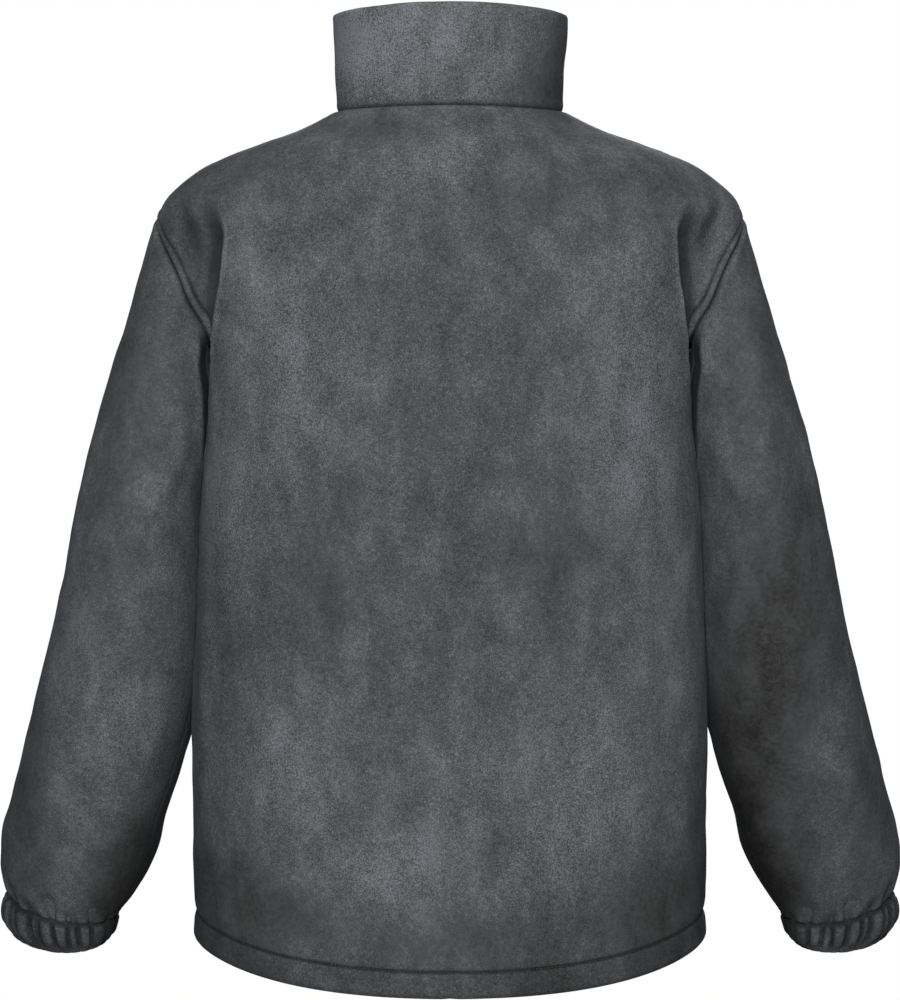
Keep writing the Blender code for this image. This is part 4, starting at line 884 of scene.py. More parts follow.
# ================================================================ the fronts
# Two panels of the same fleece, from the side seams to the zip. The edge beside the teeth is turned in and
# topstitched down onto the zip's tape.
FRONT_EDGE_X = 0.0050
ZIP_STITCH_IN = 0.0064
ZIP_EDGE_PUFF, ZIP_EDGE_ROLL, ZIP_EDGE_ROUND = 0.0006, 0.0010, 0.0011
FROM_ZIP = np.array([0.0, 0.0003, 0.0007, 0.0012, 0.0018, 0.0026, 0.0036, 0.0046, 0.0055, 0.0060, 0.0064,
                     0.0068, 0.0073, 0.0082, 0.0095, 0.0115, 0.0140, 0.0175])
ZIP_STITCH_COLUMN = -1 - 10  # counted from the zip


def zip_edge_relief(from_zip):
    """The turned edge rolls down to the teeth, puffs up, sinks at the stitches and is flat beyond them."""
    puff = between(from_zip, 0.0, 0.0030, ZIP_STITCH_IN - 0.0022, ZIP_STITCH_IN + 0.0008)
    sunk = ZIP_EDGE_ROLL * bump(from_zip, ZIP_EDGE_ROUND) + 0.0009 * bump(from_zip - ZIP_STITCH_IN, 0.0010)
    return ZIP_EDGE_PUFF * puff - sunk


def zip_edge_pressed(from_zip):
    """The zip's stitches press the pile by a bell of the distance to them."""
    return STITCH_PRESSED * bump(from_zip - ZIP_STITCH_IN, STITCH_PRESSED_ROUND)


def front(side, mirrored, seed):
    """A front and its hem stitching. It gives back the line of its zip stitching, with the normals there."""
    crest, to_crest, beyond = beside_crest(TORSO_LEVELS, "front", 44, 30)
    near_zip = np.arcsin((FRONT_EDGE_X + FROM_ZIP) / hermite(TORSO_KNOTS, TORSO_ROWS, TORSO_LEVELS)[:, :1])
    middle = near_zip[:, -1:] + (crest - near_zip[:, -1:]) * to_crest[1:]
    angles = math.pi - np.hstack([near_zip, middle, beyond])[:, ::-1]
    from_zip = torso(angles, np.broadcast_to(ROWS, angles.shape))[..., 0] - FRONT_EDGE_X
    outer, inner, pressed_and_painted_shade, up, wear_and_painted_highlight = torso_skins(angles, ROWS, 1 - arm_way(ROWS) / 2, seed,
                                                  zip_edge_relief(from_zip), zip_edge_pressed(from_zip))
    panel = cloth("front_panel_" + side, outer, inner, fleece, start=True, mirrored=mirrored, pressed_and_painted_shade=pressed_and_painted_shade,
                  lighter=wear_and_painted_highlight)
    hem = stitching("hem_stitching_" + side, outer[HEM_STITCH_ROW, :ZIP_STITCH_COLUMN],
                    up[HEM_STITCH_ROW, :ZIP_STITCH_COLUMN], mirrored)
    for piece in (panel, hem):
        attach(piece, "jacket")
    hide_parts("front_" + side)
    return np.hstack([outer[:, ZIP_STITCH_COLUMN], up[:, ZIP_STITCH_COLUMN]])


zip_stitch_line = {side: front(side, mirrored, seed) for side, mirrored, seed in
                   (("left", False, 31), ("right", True, 47))}


# ---- the topstitching round each armhole, on the body's side of the seam
def armhole_contour(turn, distance):
    """Angle and level of the points at this distance from the armhole seam: from the seam, four equal steps
    over the torso at right angles to it."""
    angle, level = armhole_turned(turn)
    line = armhole(turn)
    tangent = unit(np.roll(line, -1, axis=0) - np.roll(line, 1, axis=0))
    for _ in range(4):
        along_angle = (torso(angle + NUDGE, level) - torso(angle - NUDGE, level)) / (2 * NUDGE)
        along_level = (torso(angle, level + NUDGE) - torso(angle, level - NUDGE)) / (2 * NUDGE)
        into = unit(np.cross(tangent, np.cross(along_level, along_angle))) * distance / 4
        aa, ll, al = (np.sum(p * q, axis=-1) for p, q in
                      ((along_angle, along_angle), (along_level, along_level), (along_angle, along_level)))
        ia, il = np.sum(into * along_angle, axis=-1), np.sum(into * along_level, axis=-1)
        bottom = aa * ll - al * al
        angle, level = angle + (ia * ll - il * al) / bottom, level + (il * aa - ia * al) / bottom
    return angle, level


stitch_turn = np.linspace(0, 1, 480, endpoint=False)
stitch_angle, stitch_level = armhole_contour(stitch_turn, TOPSTITCH_IN)
for side, mirrored, flip in (("left", False, 1), ("right", True, -1)):
    angle, level = stitch_angle[:, None] * flip, stitch_level[:, None]
    skin, _, _, skin_up, _ = torso_skins(angle, level, stitch_turn[:, None], BACK_SEED)
    line, line_up = (np.vstack([rows, rows[:1]])[:, 0] * (flip, 1, 1) for rows in (skin, skin_up))
    topstitch = stitching("armhole_stitching_" + side, line, line_up, mirrored)
    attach(topstitch, "jacket")


# ================================================================ the sleeves
# Each sleeve is one piece of fleece, sewn into the armhole and closed by a seam under the arm. It hangs bent
# at the elbow and blouses over the cuff, which draws its end into puckers.
SLEEVE_FOLDS = (  # place round the sleeve (0 outside, 0.25 back), twist, top and bottom z, width, height
    (0.075, 0.02, -0.170, -0.420, 0.010, 0.0030),
    (0.930, -0.02, -0.180, -0.430, 0.011, 0.0030),
    (0.400, -0.16, -0.230, -0.370, 0.014, 0.0035),
    (0.620, 0.14, -0.240, -0.380, 0.014, 0.0035),
    (0.300, 0.08, -0.420, -0.560, 0.016, 0.0030),
    (0.700, -0.10, -0.400, -0.540, 0.016, 0.0045),
    (0.560, 0.10, -0.440, -0.580, 0.016, 0.0035),
    (0.180, -0.06, -0.500, -0.640, 0.018, 0.0028),
)
SLEEVE_GIRTH, CUFF_GIRTH = 0.38, 0.27
SLEEVE_SEAM_SINK, ARM_ROLL, CUFF_ROLL = 0.0007, 0.0008, 0.0010
SLEEVE_SEAM_PRESSED, PUCKER_SHADE, CUFF_SEAM_PRESSED = 0.35, 0.62, 0.0022
SLEEVE_WAVES = ((0.045, 0.0011, 0.6), (0.020, 0.0006, 1), (0.009, 0.00016, 1))
# On the inner side, a bulge where the sleeve lies against the body, and below it painted shade where the
# body shades the pile.
BESIDE_BODY_Z, BESIDE_BODY_TURN, BESIDE_BODY_BULGE = (-0.268, -0.300, -0.560, -0.640), 0.535, 0.0024
SHADED_Z, SHADED_WIDE_Z, SHADED_WIDTH, SHADED_WIDER = (-0.435, -0.500), (-0.55, -0.65), 0.080, 0.075
# Gathers round the elastic: where each valley lies, how deep it is, how far it slants down the cuff, and how
# far up the sleeve it runs.
GATHERS = (
    (0.004, 1.0, 0.014, 0.016), (0.046, 1.2, 0.020, 0.030), (0.084, 0.8, 0.030, 0.012),
    (0.112, 1.3, 0.034, 0.036), (0.166, 1.1, 0.038, 0.020), (0.192, 0.7, 0.026, 0.012),
    (0.236, 1.3, 0.036, 0.038), (0.282, 1.2, 0.022, 0.016), (0.306, 0.7, 0.034, 0.012),
    (0.352, 1.3, 0.022, 0.034), (0.412, 1.1, 0.014, 0.014), (0.468, 0.9, 0.000, 0.012),
    (0.520, 1.1, -0.008, 0.016), (0.566, 1.2, -0.022, 0.028), (0.602, 0.8, -0.016, 0.012),
    (0.652, 1.3, -0.030, 0.034), (0.702, 1.0, -0.018, 0.014), (0.726, 0.7, -0.024, 0.012),
    (0.778, 1.3, -0.032, 0.036), (0.814, 1.0, -0.016, 0.014), (0.862, 1.2, -0.018, 0.028),
    (0.892, 0.8, -0.010, 0.012), (0.936, 1.1, -0.006, 0.022), (0.970, 0.8, 0.004, 0.012),
)
PUCKER_DEPTH, PUCKER_DRIFT, PUCKER_WIDTH, PUCKER_SPREAD = 0.0038, -1.0, 0.0026, 0.20
CUFF = {
    "seam": SLEEVE["cuff_seam"],
    "top": (0.3802, -0.6610, 0.2864, -0.6795, -0.0710, 0.0375, 0.011),
    "middle": (0.3822, -0.6760, 0.2896, -0.6910, -0.0730, 0.0380, 0.010),
    "end": (0.3778, -0.6890, 0.2938, -0.6990, -0.0750, 0.0355, 0.009),
}
CUFF_KNOTS = centre_knots([arm_ring(row, SLEEVE_ROUND) for row in CUFF.values()])
CUFF_END = CUFF_KNOTS[-1]
CUFF_SEAM_WAVE, WIDE_PUFF = 0.0009, 0.036


def gathers(turn, down, power=0.5):
    """Puffs between sharp valleys, 0 in a valley and about 1 at the top of a wide puff: the power of four
    times the product of the places from both valleys, by the puff's width squared. down, 0 to 1, slants the
    valleys."""
    place, depth, slant, _ = np.array(GATHERS).T
    apart = turn[..., None] - place - slant * down[..., None]
    behind, ahead = apart % 1.0, (-apart) % 1.0
    last, following = np.argmin(behind, axis=-1), np.argmin(ahead, axis=-1)
    before = np.take_along_axis(behind, last[..., None], -1)[..., 0]
    after = np.take_along_axis(ahead, following[..., None], -1)[..., 0]
    width = np.maximum(before + after, 1e-9)
    deep = (depth[last] * after + depth[following] * before) / width
    return (4 * before * after / width**2) ** power * deep * np.minimum(width / WIDE_PUFF, 1.25) ** 0.6


def puckers(turn, from_cuff):
    """Wedge-shaped dents above the seam, 0 to 1 or so: bells that widen and die out up the sleeve."""
    total = np.zeros(turn.shape)
    for place, depth, _, reach in GATHERS:
        apart = ((turn - place - PUCKER_DRIFT * from_cuff + 0.5) % 1.0 - 0.5) * CUFF_GIRTH
        total += depth * bump(apart, PUCKER_WIDTH + PUCKER_SPREAD * from_cuff) * ramp(from_cuff, reach, 0.0)
    return total


def cuff_base(turn, way):
    """The smooth tube through the cuff's rings."""
    return hermite(CUFF_KNOTS, np.stack([arm_ring(row, turn) for row in CUFF.values()]), way)


def sleeve_creases(turn, way, points):
    """Bells across each crease, sine squared along it, which fade at the armhole."""
    z = points[..., 2]
    total = np.zeros_like(z)
    for place, twist, top_z, bottom_z, width, height in SLEEVE_FOLDS:
        down = np.clip((z - top_z) / (bottom_z - top_z), 0, 1)
        apart = (turn - place - twist * down + 0.5) % 1.0 - 0.5
        total = total + height * np.sin(math.pi * down) ** 2 * bump(apart * SLEEVE_GIRTH, width)
    return total * ramp(way, 0, 0.025)


sleeve_form = raised(sleeve_base, sleeve_creases)


def cuff_seam_normal(turn):
    """Middle direction between the sleeve's and the cuff's normals in the seam of the two."""
    return unit(normals(sleeve_form, turn, np.full(turn.shape, SLEEVE_END - 2e-4))
                + normals(cuff_base, turn, np.full(turn.shape, 2e-4)))


def underarm_turn(way):
    """The sleeve's own seam starts at the underarm and drifts to the back on its way down."""
    return 0.5 - 0.08 * way / SLEEVE_END


SLEEVE_WAYS = np.append(np.concatenate([
    [0.0, 0.0003, 0.0006, 0.0010, 0.0015, 0.0021, 0.0028, 0.0036, 0.0046, 0.0058, 0.0072, 0.0090, 0.0115,
     0.0145],
    runs((0.0180, SLEEVE_END - 0.055, 84), (SLEEVE_END - 0.055, SLEEVE_END - 0.008, 24),
         (SLEEVE_END - 0.008, SLEEVE_END, 9))]), SLEEVE_END)[:, None]
BESIDE_SEAM = np.array([0.0006, 0.0012, 0.0020, 0.0032, 0.0048]) / SLEEVE_GIRTH
SLEEVE_COLUMNS = np.concatenate([[0.0], BESIDE_SEAM, np.linspace(0.018, 0.982, 168), 1 - BESIDE_SEAM[::-1]])


def sleeve(side, mirrored, seed):
    """One sleeve. Its relief adds up what its seams, the puffs and puckers at the cuff, the body beside it
    and the cloth's waviness do."""
    turn = (underarm_turn(SLEEVE_WAYS) + SLEEVE_COLUMNS) % 1.0
    way = np.broadcast_to(SLEEVE_WAYS, turn.shape)
    points = sleeve_form(turn, way)
    step = np.linalg.norm(np.diff(points, axis=0), axis=-1)
    from_arm = np.concatenate([np.zeros((1, turn.shape[1])), np.cumsum(step, axis=0)])
    from_cuff = from_arm[-1] - from_arm
    from_seam = np.abs((turn - underarm_turn(way) + 0.5) % 1.0 - 0.5) * SLEEVE_GIRTH
    points = points + crevice(points, from_arm)[..., None] * (0, 1, 0)
    z = points[..., 2]
    up = sewn_normals(sleeve_form, turn, np.clip(way, 2e-4, SLEEVE_END - 2e-4), (
        (armhole_seam_normal(np.broadcast_to(turn[0], turn.shape)), from_arm),
        (cuff_seam_normal(np.broadcast_to(turn[-1], turn.shape)), from_cuff)))
    on_top = bump(np.minimum(turn, 1 - turn), 0.045)
    relief = -SEAM_SINK * bump(from_arm, SEAM_ROUND) * (1 - CALM_SEAM_ON_TOP * on_top)
    relief = relief - SLEEVE_SEAM_SINK * bump(from_seam, 0.0014) * ramp(from_arm, 0, 0.004)
    relief = relief + ARM_ROLL * bump(from_arm - 0.006, 0.0035)
    beside = between(z, *BESIDE_BODY_Z) * bump((turn - BESIDE_BODY_TURN) * SLEEVE_GIRTH, 0.026)
    relief = relief + BESIDE_BODY_BULGE * beside - SEAM_SINK * bump(from_cuff, SEAM_ROUND)
    relief = relief + CUFF_SEAM_WAVE * gathers(turn, np.zeros(turn.shape)) * bump(from_cuff, 0.004)
    dents = puckers(turn, from_cuff)
    rolled = CUFF_ROLL * bump(from_cuff - 0.004, 0.006) - PUCKER_DEPTH * dents
    free = ramp(from_arm, 0.002, 0.015) * ramp(from_cuff, 0.001, 0.010)
    relief = relief + ramp(from_cuff, 0, 0.003) * rolled + waviness(points, SLEEVE_WAVES, seed) * free

    pressed_and_painted_shade = bump(from_arm, SEAM_PRESSED) + SLEEVE_SEAM_PRESSED * bump(from_seam, STITCH_PRESSED_ROUND)
    pressed_and_painted_shade = pressed_and_painted_shade + bump(from_cuff, CUFF_SEAM_PRESSED)
    # Painted shade in the puckers' dents above the cuff.
    pressed_and_painted_shade = pressed_and_painted_shade + PUCKER_SHADE * np.minimum(dents, 1) * ramp(from_cuff, 0.0, 0.002)
    # Painted shade on the inner side below the bulge, and in the underarm's crevice.
    in_shade = bump(turn - 0.5, SHADED_WIDTH + SHADED_WIDER * ramp(z, *SHADED_WIDE_Z)) * ramp(z, *SHADED_Z)
    shut_in = np.maximum(in_crevice(points) * ramp(from_arm, 0.0090, 0.0048), in_shade)
    outer, inner = points + up * relief[..., None], points - up * FLEECE
    piece = cloth("sleeve_panel_" + side, outer, inner, fleece, tube=True, mirrored=mirrored,
                  pressed_and_painted_shade=darkened(pressed_and_painted_shade, shut_in))
    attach(piece, "jacket")
    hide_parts("sleeve_" + side)


for side, mirrored, seed in (("left", False, 71), ("right", True, 89)):
    sleeve(side, mirrored, seed)


# ================================================================ the cuffs
# A strip of fleece folded over elastic and sewn to the sleeve's end. The elastic draws it into small,
# slanting gathers, and its folded edge is round.
CUFF_CLOTH = 2 * FLEECE
CUFF_PUFF, CUFF_PUFF_MEAN, CUFF_EDGE_CALM, CUFF_CALM_FROM = 0.0050, 0.62, 0.90, 0.62
CUFF_PRESSED_AND_SHADED, CUFF_WORN, CUFF_VALLEY_SHADE = 0.38, 0.28, 0.75
CUFF_SHADED_TURN, CUFF_SHADED_WIDTH = 0.46, 0.10
CUFF_WAYS = np.append(np.concatenate([[0.0, 0.0004, 0.0009, 0.0015, 0.0023, 0.0033],
                                      np.linspace(0.0045, CUFF_END, 20, endpoint=False)]), CUFF_END)[:, None]


def cuff(side, mirrored, seed):
    """One cuff: puffs that calm down towards the folded edge. Painted shade lies in its valleys, over the
    whole band with its flat pile, and on the inner side where the body shades it; wear leaves it light in
    spots."""
    turn, way = np.meshgrid(np.linspace(0, 1, 300, endpoint=False), CUFF_WAYS[:, 0])
    points = cuff_base(turn, way)
    up = sewn_normals(cuff_base, turn, np.clip(way, 2e-4, CUFF_END - 2e-4), ((cuff_seam_normal(turn), way),))
    down = way / CUFF_END
    calm = 1 - CUFF_EDGE_CALM * ramp(down, CUFF_CALM_FROM, 1)
    relief = -SEAM_SINK * bump(way, SEAM_ROUND)
    relief = relief + CUFF_SEAM_WAVE * gathers(turn, np.zeros(turn.shape)) * bump(way, 0.004)
    relief = relief + CUFF_PUFF * (gathers(turn, down) - CUFF_PUFF_MEAN) * ramp(way, 0, 0.0060) * calm
    relief = relief + soft_noise(points, 0.008, seed) * 0.0003 * ramp(way, 0, 0.004)
    # Painted shade in the gathers' valleys.
    valley = ramp(gathers(turn, down, 2.0), 0.85, 0.15) * ramp(way, 0, 0.002) * calm
    wear_and_painted_highlight = CUFF_WORN * soft_noise(points * (1, 1, 0.3), 0.013, seed + 1)
    # Painted shade over the whole band, with its pressed pile, and lighter with wear in spots.
    pressed_and_painted_shade = CUFF_PRESSED_AND_SHADED - wear_and_painted_highlight + bump(way, 0.0024) + CUFF_VALLEY_SHADE * valley
    # Painted shade on the inner side, where the body shades the cuff.
    in_shade = bump(turn - CUFF_SHADED_TURN, CUFF_SHADED_WIDTH)
    inner = points - up * (CUFF_CLOTH - 0.0008 * ramp(way, 0, 0.006))[..., None]
    piece = cloth("cuff_band_" + side, points + up * relief[..., None], inner, fleece, tube=True, end=True,
                  mirrored=mirrored, pressed_and_painted_shade=darkened(pressed_and_painted_shade, in_shade))
    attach(piece, "jacket")
    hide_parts("cuff_" + side)


for side, mirrored, seed in (("left", False, 101), ("right", True, 113)):
    cuff(side, mirrored, seed)


# ================================================================ the collar
# A stand-up collar in one strip of fleece from zip to zip, folded double at the top and sewn round the neck.
# Its ends are turned in and topstitched beside the teeth, in one row with the fronts' edges.
COLLAR_CLOTH = 2 * FLEECE
COLLAR_END = COLLAR_KNOTS[-1]
COLLAR_FOLDS = (  # degrees round from the middle of the back, lean, low and high level, width, height
    (62.0, -16.0, 0.000, 0.050, 0.012, 0.0012),
    (-58.0, 14.0, 0.004, 0.060, 0.014, 0.0011),
    (12.0, 8.0, 0.020, 0.078, 0.020, 0.0009),
    (-26.0, -6.0, 0.000, 0.060, 0.018, 0.0008),
    (104.0, 10.0, 0.010, 0.070, 0.014, 0.0012),
    (-112.0, -12.0, 0.006, 0.066, 0.015, 0.0012),
    (148.0, 4.0, 0.000, 0.060, 0.012, 0.0010),
    (-144.0, -6.0, 0.000, 0.064, 0.012, 0.0010),
)
COLLAR_WAVES, COLLAR_RADIUS = ((0.030, 0.0009, 1), (0.012, 0.0003, 1)), 0.085
near_zip = math.pi - np.arcsin((FRONT_EDGE_X + FROM_ZIP[::-1]) / TORSO["neck"][0])
collar_half = np.concatenate([np.linspace(0, near_zip[0], 96, endpoint=False), near_zip])
collar_angles = np.concatenate([-collar_half[:0:-1], collar_half])
COLLAR_LEVELS = np.concatenate([[0.0, 0.0003, 0.0008, 0.0014, 0.0022, 0.0032, 0.0045, 0.0060, 0.0080],
                                np.linspace(0.0100, COLLAR_END - 0.006, 24, endpoint=False),
                                COLLAR_END - np.array([0.0060, 0.0045, 0.0030, 0.0018, 0.0008, 0.0])])
angle, level = np.meshgrid(collar_angles, COLLAR_LEVELS)
points = collar_form(angle, level)
collar_up = sewn_normals(collar_form, angle, np.maximum(level, 2e-4), ((neck_seam_normal(angle), level),))
from_zip = np.where(points[..., 1] < 0, np.abs(points[..., 0]) - FRONT_EDGE_X, 1.0)
from_seam = ramp(level, 0, 0.01)
relief = zip_edge_relief(from_zip) - SEAM_SINK * bump(level, SEAM_ROUND)
relief = relief + waviness(points, COLLAR_WAVES, 131) * from_seam
for place, lean, low, high, width, height in COLLAR_FOLDS:
    rise = np.clip((level - low) / (high - low), 0, 1)
    apart = (angle - np.radians(place + lean * rise)) * COLLAR_RADIUS
    relief = relief + height * np.sin(math.pi * rise) ** 2 * bump(apart, width)
thick = COLLAR_CLOTH + 0.0006 * soft_noise(points, 0.030, 141) * from_seam
collar_outer, collar_inner = points + collar_up * relief[..., None], points - collar_up * thick[..., None]
collar = cloth("collar_band", collar_outer, collar_inner, fleece, end=True,
               pressed_and_painted_shade=np.clip(bump(level, SEAM_PRESSED) + zip_edge_pressed(from_zip), 0, 1))
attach(collar, "jacket")
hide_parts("collar")
for side, column, flip in (("left", ZIP_STITCH_COLUMN, 1), ("right", -1 - ZIP_STITCH_COLUMN, -1)):
    rest = np.hstack([collar_outer[1:, column] * (flip, 1, 1), collar_up[1:, column] * (flip, 1, 1)])
    line = np.vstack([zip_stitch_line[side], rest])
    seam = stitching("zip_stitching_" + side, line[:, :3], line[:, 3:], mirrored=flip < 0)
    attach(seam, "jacket")


# ================================================================ the zip
# An open-ended zip, closed, with moulded teeth on woven tapes. A box holds its lower end, and its slider and
# pull tab are die-cast and painted.
TAPE_WIDTH, TAPE_THICK, TAPE_DEPTH, TAPE_GAP_X = 0.0140, 0.0008, 0.0029, 0.0002
TOOTH_PITCH, TOOTH_FRONT, TOOTH_BACK, TOOTH_CHAMFER, TOOTH_TOP_SIZE = 0.0027, 0.0006, 0.0026, 0.0003, 0.86
TOOTH_HALF = (  # half of a tooth's outline in millimetres, from the tape to the head
    (2.80, 0.80), (1.15, 0.82), (0.92, 0.46), (-0.06, 0.44), (-0.16, 0.80), (-0.58, 0.80), (-0.90, 0.36))
SLIDER_TOP_Z, SLIDER_LENGTH, BRIDGE_HALF_X, BOX_HEIGHT = 0.0180, 0.0130, 0.0011, 0.0100


def zip_frame(x, place):
    """The line up the front edge at a distance from the centre line, and its normals. place is the level on
    the torso, and beyond the neck the level on the collar."""
    torso_place = np.minimum(place, TORSO_LEVEL["neck"])
    collar_place = np.maximum(place - TORSO_LEVEL["neck"], 0)
    body_wide = hermite(TORSO_KNOTS, TORSO_ROWS, torso_place)[:, 0]
    neck_wide = hermite(COLLAR_KNOTS, np.array(list(COLLAR.values())), collar_place)[:, 0]
    body_angle, neck_angle = math.pi - np.arcsin(x / body_wide), math.pi - np.arcsin(x / neck_wide)
    on_collar = (place > TORSO_LEVEL["neck"])[:, None]
    points = np.where(on_collar, collar_form(neck_angle, collar_place), torso(body_angle, torso_place))
    body_up = normals(torso, body_angle, torso_place)
    neck_up = normals(collar_form, neck_angle, collar_place)
    share = ramp(place - TORSO_LEVEL["neck"], -0.005, 0.005)[:, None]
    return points, unit(body_up * (1 - share) + neck_up * share)


ZIP_PLACES = np.linspace(0, TORSO_LEVEL["neck"] + COLLAR_END, 420)
centre, centre_up = zip_frame(np.zeros(420), ZIP_PLACES)
heights = centre[:, 2]
walked = np.concatenate([[0], np.cumsum(np.linalg.norm(np.diff(centre, axis=0), axis=1))])


def weave_material():
    """Narrow woven polyester: ribs across a twill, near black."""
    material, tree, shader, place = shaded("zip tape", {"Roughness": 0.72})
    bands = []
    for direction, scale in (("X", 620), ("DIAGONAL", 420)):
        wave = tree.nodes.new("ShaderNodeTexWave")
        wave.bands_direction = direction
        wave.inputs["Scale"].default_value = scale
        wave.inputs["Distortion"].default_value = 0.4
        tree.links.new(place, wave.inputs["Vector"])
        bands.append(wave.outputs["Fac"])
    height = sum_of(tree, 0.5, (bands[0], 0.6), (bands[1], 0.5), (noise(tree, place, 300, 2), 0.5))
    tree.links.new(coloured(tree, height, (0.012, 0.0125, 0.014), (0.050, 0.052, 0.056)),
                   shader.inputs["Base Color"])
    dented(tree, shader, height, 0.6, 0.0002)
    return material


tape_cloth = weave_material()


def plain_material(name, colour, roughness, metallic, grain, wear):
    """Moulded, or cast and painted: a fine orange peel, and a little lighter and rougher in patches."""
    material, tree, shader, place = shaded(name, {"Metallic": metallic})
    patches = noise(tree, place, 160, 3)
    wear_and_painted_highlight = tuple(channel * wear for channel in colour)
    tree.links.new(coloured(tree, patches, colour, wear_and_painted_highlight), shader.inputs["Base Color"])
    tree.links.new(sum_of(tree, roughness, (patches, 0.25)), shader.inputs["Roughness"])
    dented(tree, shader, noise(tree, place, grain, 2), 0.25, 0.00005)
    return material


tooth_plastic = plain_material("zip teeth", (0.022, 0.023, 0.025), 0.42, 0.0, 2600, 1.6)
painted_metal = plain_material("zip metal", (0.050, 0.050, 0.054), 0.34, 0.9, 1500, 1.9)

# The turned edges of hem and collar leave less room for the tapes, and the slider's bridge parts them.
in_collar = ZIP_PLACES > TORSO_LEVEL["neck"] - 0.003
in_hem = ZIP_PLACES < TORSO_LEVEL["hem_stitch"] + 0.006
by_slider = heights > SLIDER_TOP_Z - SLIDER_LENGTH - 0.004
near_x = np.where(by_slider, BRIDGE_HALF_X + 0.0003, TAPE_GAP_X)
far_x = np.where(in_collar | in_hem, FRONT_EDGE_X + 0.0001, TAPE_WIDTH)
for side, mirrored in (("left", False), ("right", True)):
    across = [zip_frame(far_x + (near_x - far_x) * share, ZIP_PLACES) for share in np.linspace(0, 1, 7)]
    surface, surface_up = (np.stack(lines, axis=1) for lines in zip(*across))
    face, reverse = (surface - surface_up * depth for depth in (TAPE_DEPTH, TAPE_DEPTH + TAPE_THICK))
    tape = cloth("tape_" + side, face, reverse, tape_cloth, mirrored=mirrored)
    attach(tape, "jacket")
    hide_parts("zip_tape_" + side)


def teeth(name, starts, flip):
    """Teeth along the zip. Each is an outline with a neck and a head, carried back through three depths,
    and a little smaller at the front."""
    half = np.array(TOOTH_HALF)
    outline = np.vstack([half, (half * (1, -1))[::-1]]) / 1000
    middle = np.array((0.0010, 0.0))
    layers = ((outline, TOOTH_BACK), (outline, TOOTH_FRONT + TOOTH_CHAMFER),
              (middle + (outline - middle) * TOOTH_TOP_SIZE, TOOTH_FRONT))
    at, _ = along(np.hstack([centre, centre_up]), starts)
    ahead, _ = along(centre, starts + 0.0005)
    place, out = at[:, None, :3], unit(at[:, None, 3:])
    run = unit(ahead[:, None] - place)
    points = np.stack([place + shape[:, :1] * flip * (1, 0, 0) + run * shape[:, 1:] - out * depth
                       for shape, depth in layers], axis=1)
    index = np.arange(points[..., 0].size).reshape(len(starts), 3, len(outline))
    on = np.roll(index, -1, axis=2)
    walls = np.stack([index[:, :-1], index[:, 1:], on[:, 1:], on[:, :-1]], axis=-1).reshape(-1, 4)
    faces = walls.tolist() + index[:, 0].tolist() + index[:, 2, ::-1].tolist()
    faces = [face[::flip] for face in faces]
    obj = solid(name, points.reshape(-1, 3), faces, tooth_plastic)
    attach(obj, "jacket")
    return obj


first = np.interp(heights[0] + BOX_HEIGHT, heights, walked) + 0.0012
last = np.interp(SLIDER_TOP_Z - SLIDER_LENGTH, heights, walked) - 0.0010
teeth_left = teeth("teeth_left", np.arange(first, last, TOOTH_PITCH), 1)
teeth("teeth_right", np.arange(first + TOOTH_PITCH / 2, last, TOOTH_PITCH), -1)
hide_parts("zip_chain")


def softened(name, node, width, material, body):
    """A small hard piece: its solid's own faces, with all of their edges rounded."""
    mesh = bpy.data.objects[node].data.copy()
    mesh.name = name
    work = bmesh.new()
    work.from_mesh(mesh)
    bmesh.ops.remove_doubles(work, verts=work.verts, dist=1e-6)
    bmesh.ops.dissolve_limit(work, angle_limit=math.radians(3), verts=work.verts, edges=work.edges)
    work.to_mesh(mesh)
    work.free()
    mesh.materials.clear()
    mesh.materials.append(material)
    mesh.shade_smooth()
    obj = bpy.data.objects.new(name, mesh)
    bpy.context.scene.collection.objects.link(obj)
    rounded = obj.modifiers.new("rounded edges", "BEVEL")
    rounded.width, rounded.segments = width, 3
    rounded.limit_method, rounded.angle_limit = "ANGLE", math.radians(28)
    rounded.harden_normals = True
    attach(obj, body)
    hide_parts(node)


softened("slider", "zip_slider", 0.00028, painted_metal, "jacket")
softened("pull_tab", "zip_pull", 0.00024, painted_metal, "zip_pull")
softened("bottom_box", "zip_box", 0.00050, tooth_plastic, "jacket")


# ================================================================ floor, light and camera
# A pale floor that fades out into a white room. Round lights stand behind the camera and above, two rim the
# jacket from its far side, and a soft one lights its front.
FLOOR_Z, FLOOR_CLEAR, FLOOR_EDGE, FLOOR_BOUNCE = -1.45, 0.8, 1.5, 0.25


def floor_material():
    """Pale and dull. It fades to clear beyond a distance from the middle, and the light sees less of it than
    the camera does."""
    material, tree, shader, place = shaded("floor", {"Base Color": (0.90, 0.90, 0.90, 1), "Roughness": 0.9})
    far, fade, seen, bounce, share = (tree.nodes.new("ShaderNode" + kind) for kind in (
        "VectorMath", "MapRange", "LightPath", "MapRange", "Math"))
    far.operation, fade.interpolation_type, share.operation = "LENGTH", "SMOOTHSTEP", "MULTIPLY"
    tree.links.new(place, far.inputs[0])
    whole, clear = math.hypot(FLOOR_CLEAR, FLOOR_Z), math.hypot(FLOOR_EDGE, FLOOR_Z)
    for name, value in (("From Min", whole), ("From Max", clear), ("To Min", 1.0), ("To Max", 0.0)):
        fade.inputs[name].default_value = value
    bounce.inputs["To Min"].default_value = FLOOR_BOUNCE
    tree.links.new(far.outputs["Value"], fade.inputs["Value"])
    tree.links.new(seen.outputs["Is Camera Ray"], bounce.inputs["Value"])
    tree.links.new(fade.outputs["Result"], share.inputs[0])
    tree.links.new(bounce.outputs["Result"], share.inputs[1])
    tree.links.new(share.outputs[0], shader.inputs["Alpha"])
    return material


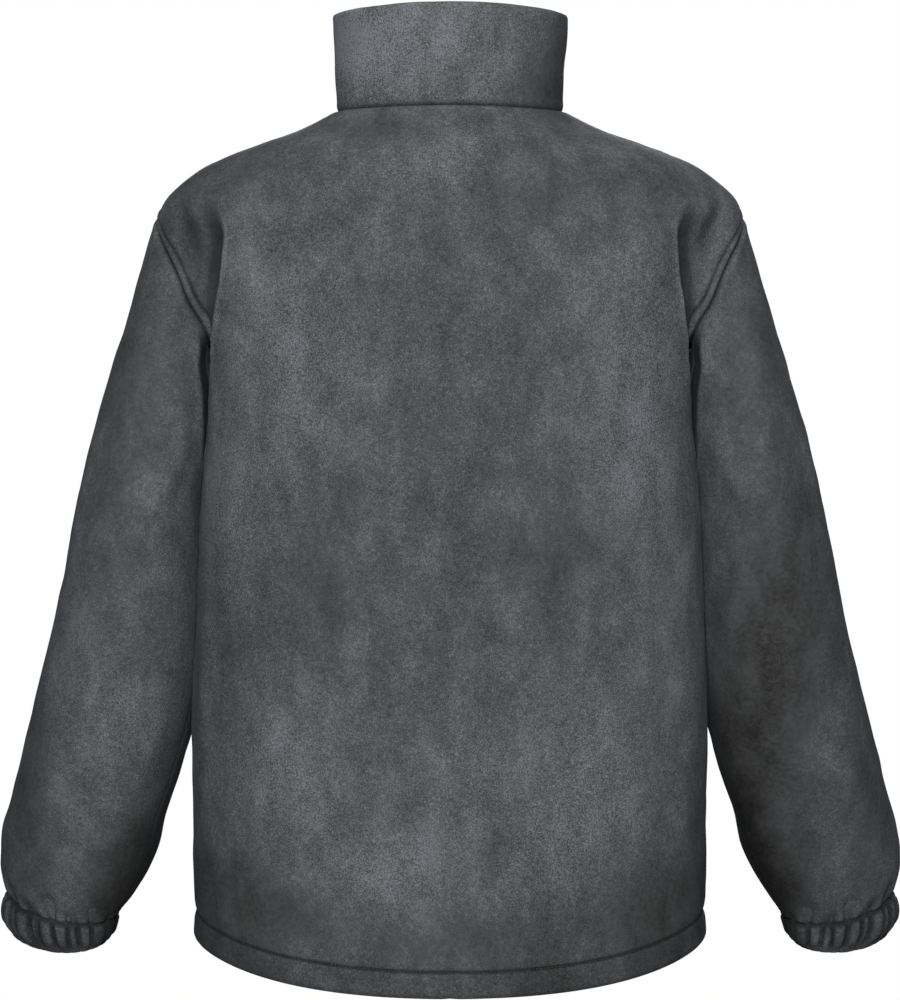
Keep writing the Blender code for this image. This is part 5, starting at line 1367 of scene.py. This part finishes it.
radius, turn = np.meshgrid(np.linspace(0, FLOOR_EDGE, 9), np.radians(np.arange(64) * 5.625), indexing="ij")
disc = np.stack([radius * np.cos(turn), radius * np.sin(turn), np.full(turn.shape, FLOOR_Z)], axis=-1)
index = np.arange(turn.size).reshape(9, 64)
on = np.roll(index, -1, axis=1)
quads = np.stack([index[:-1], index[1:], on[1:], on[:-1]], axis=-1).reshape(-1, 4)
floor = solid("floor", disc.reshape(-1, 3), quads.tolist(), floor_material())

world = bpy.data.worlds.new("room")
bpy.context.scene.world = world
world.use_nodes = True
tree = world.node_tree
tree.nodes.clear()
seen, lit = tree.nodes.new("ShaderNodeBackground"), tree.nodes.new("ShaderNodeBackground")
seen.inputs["Color"].default_value, seen.inputs["Strength"].default_value = (1, 1, 1, 1), 1.0
lit.inputs["Color"].default_value, lit.inputs["Strength"].default_value = (0.93, 0.96, 1, 1), 0.025
path, pick, out = (tree.nodes.new("ShaderNode" + kind) for kind in ("LightPath", "MixShader", "OutputWorld"))
tree.links.new(path.outputs["Is Camera Ray"], pick.inputs["Fac"])
tree.links.new(lit.outputs[0], pick.inputs[1])
tree.links.new(seen.outputs[0], pick.inputs[2])
tree.links.new(pick.outputs[0], out.inputs["Surface"])

for name, spot, size, power, colour in (
        ("key", (0.10, 3.0, 0.62), 0.8, 94, (1, 1, 1)),
        ("high", (-0.5, 1.6, 2.2), 0.9, 10, (0.97, 0.98, 1)),
        ("rim_left", (1.3, -1.3, 1.3), 1.0, 9, (0.86, 0.93, 1)),
        ("rim_right", (-1.3, -1.3, 1.3), 1.0, 9, (0.86, 0.93, 1)),
        ("front_soft", (-0.4, -3.1, 0.8), 1.4, 70, (1, 1, 1))):
    lamp = bpy.data.lights.new(name, "AREA")
    lamp.shape, lamp.size, lamp.energy, lamp.color = "DISK", size, power, colour
    light = bpy.data.objects.new(name, lamp)
    light.location = spot
    light.rotation_euler = (Vector((0, 0, -0.33)) - Vector(spot)).to_track_quat("-Z", "Y").to_euler()
    bpy.context.scene.collection.objects.link(light)

CAMERA_Y, CAMERA_Z, CAMERA_PITCH = 2.2, -0.1527, math.radians(4.26)
FOCAL_PIXELS, HEIGHT_PIXELS = 2683, 1000
view = bpy.data.cameras.new("camera")
view.sensor_width = 36
view.lens = FOCAL_PIXELS / HEIGHT_PIXELS * view.sensor_width
camera = bpy.data.objects.new("camera", view)
camera.location = (0, CAMERA_Y, CAMERA_Z)
camera.rotation_euler = (math.pi / 2 - CAMERA_PITCH, 0, math.pi)
bpy.context.scene.collection.objects.link(camera)
bpy.context.scene.camera = camera

bpy.context.scene.view_settings.view_transform = "Standard"
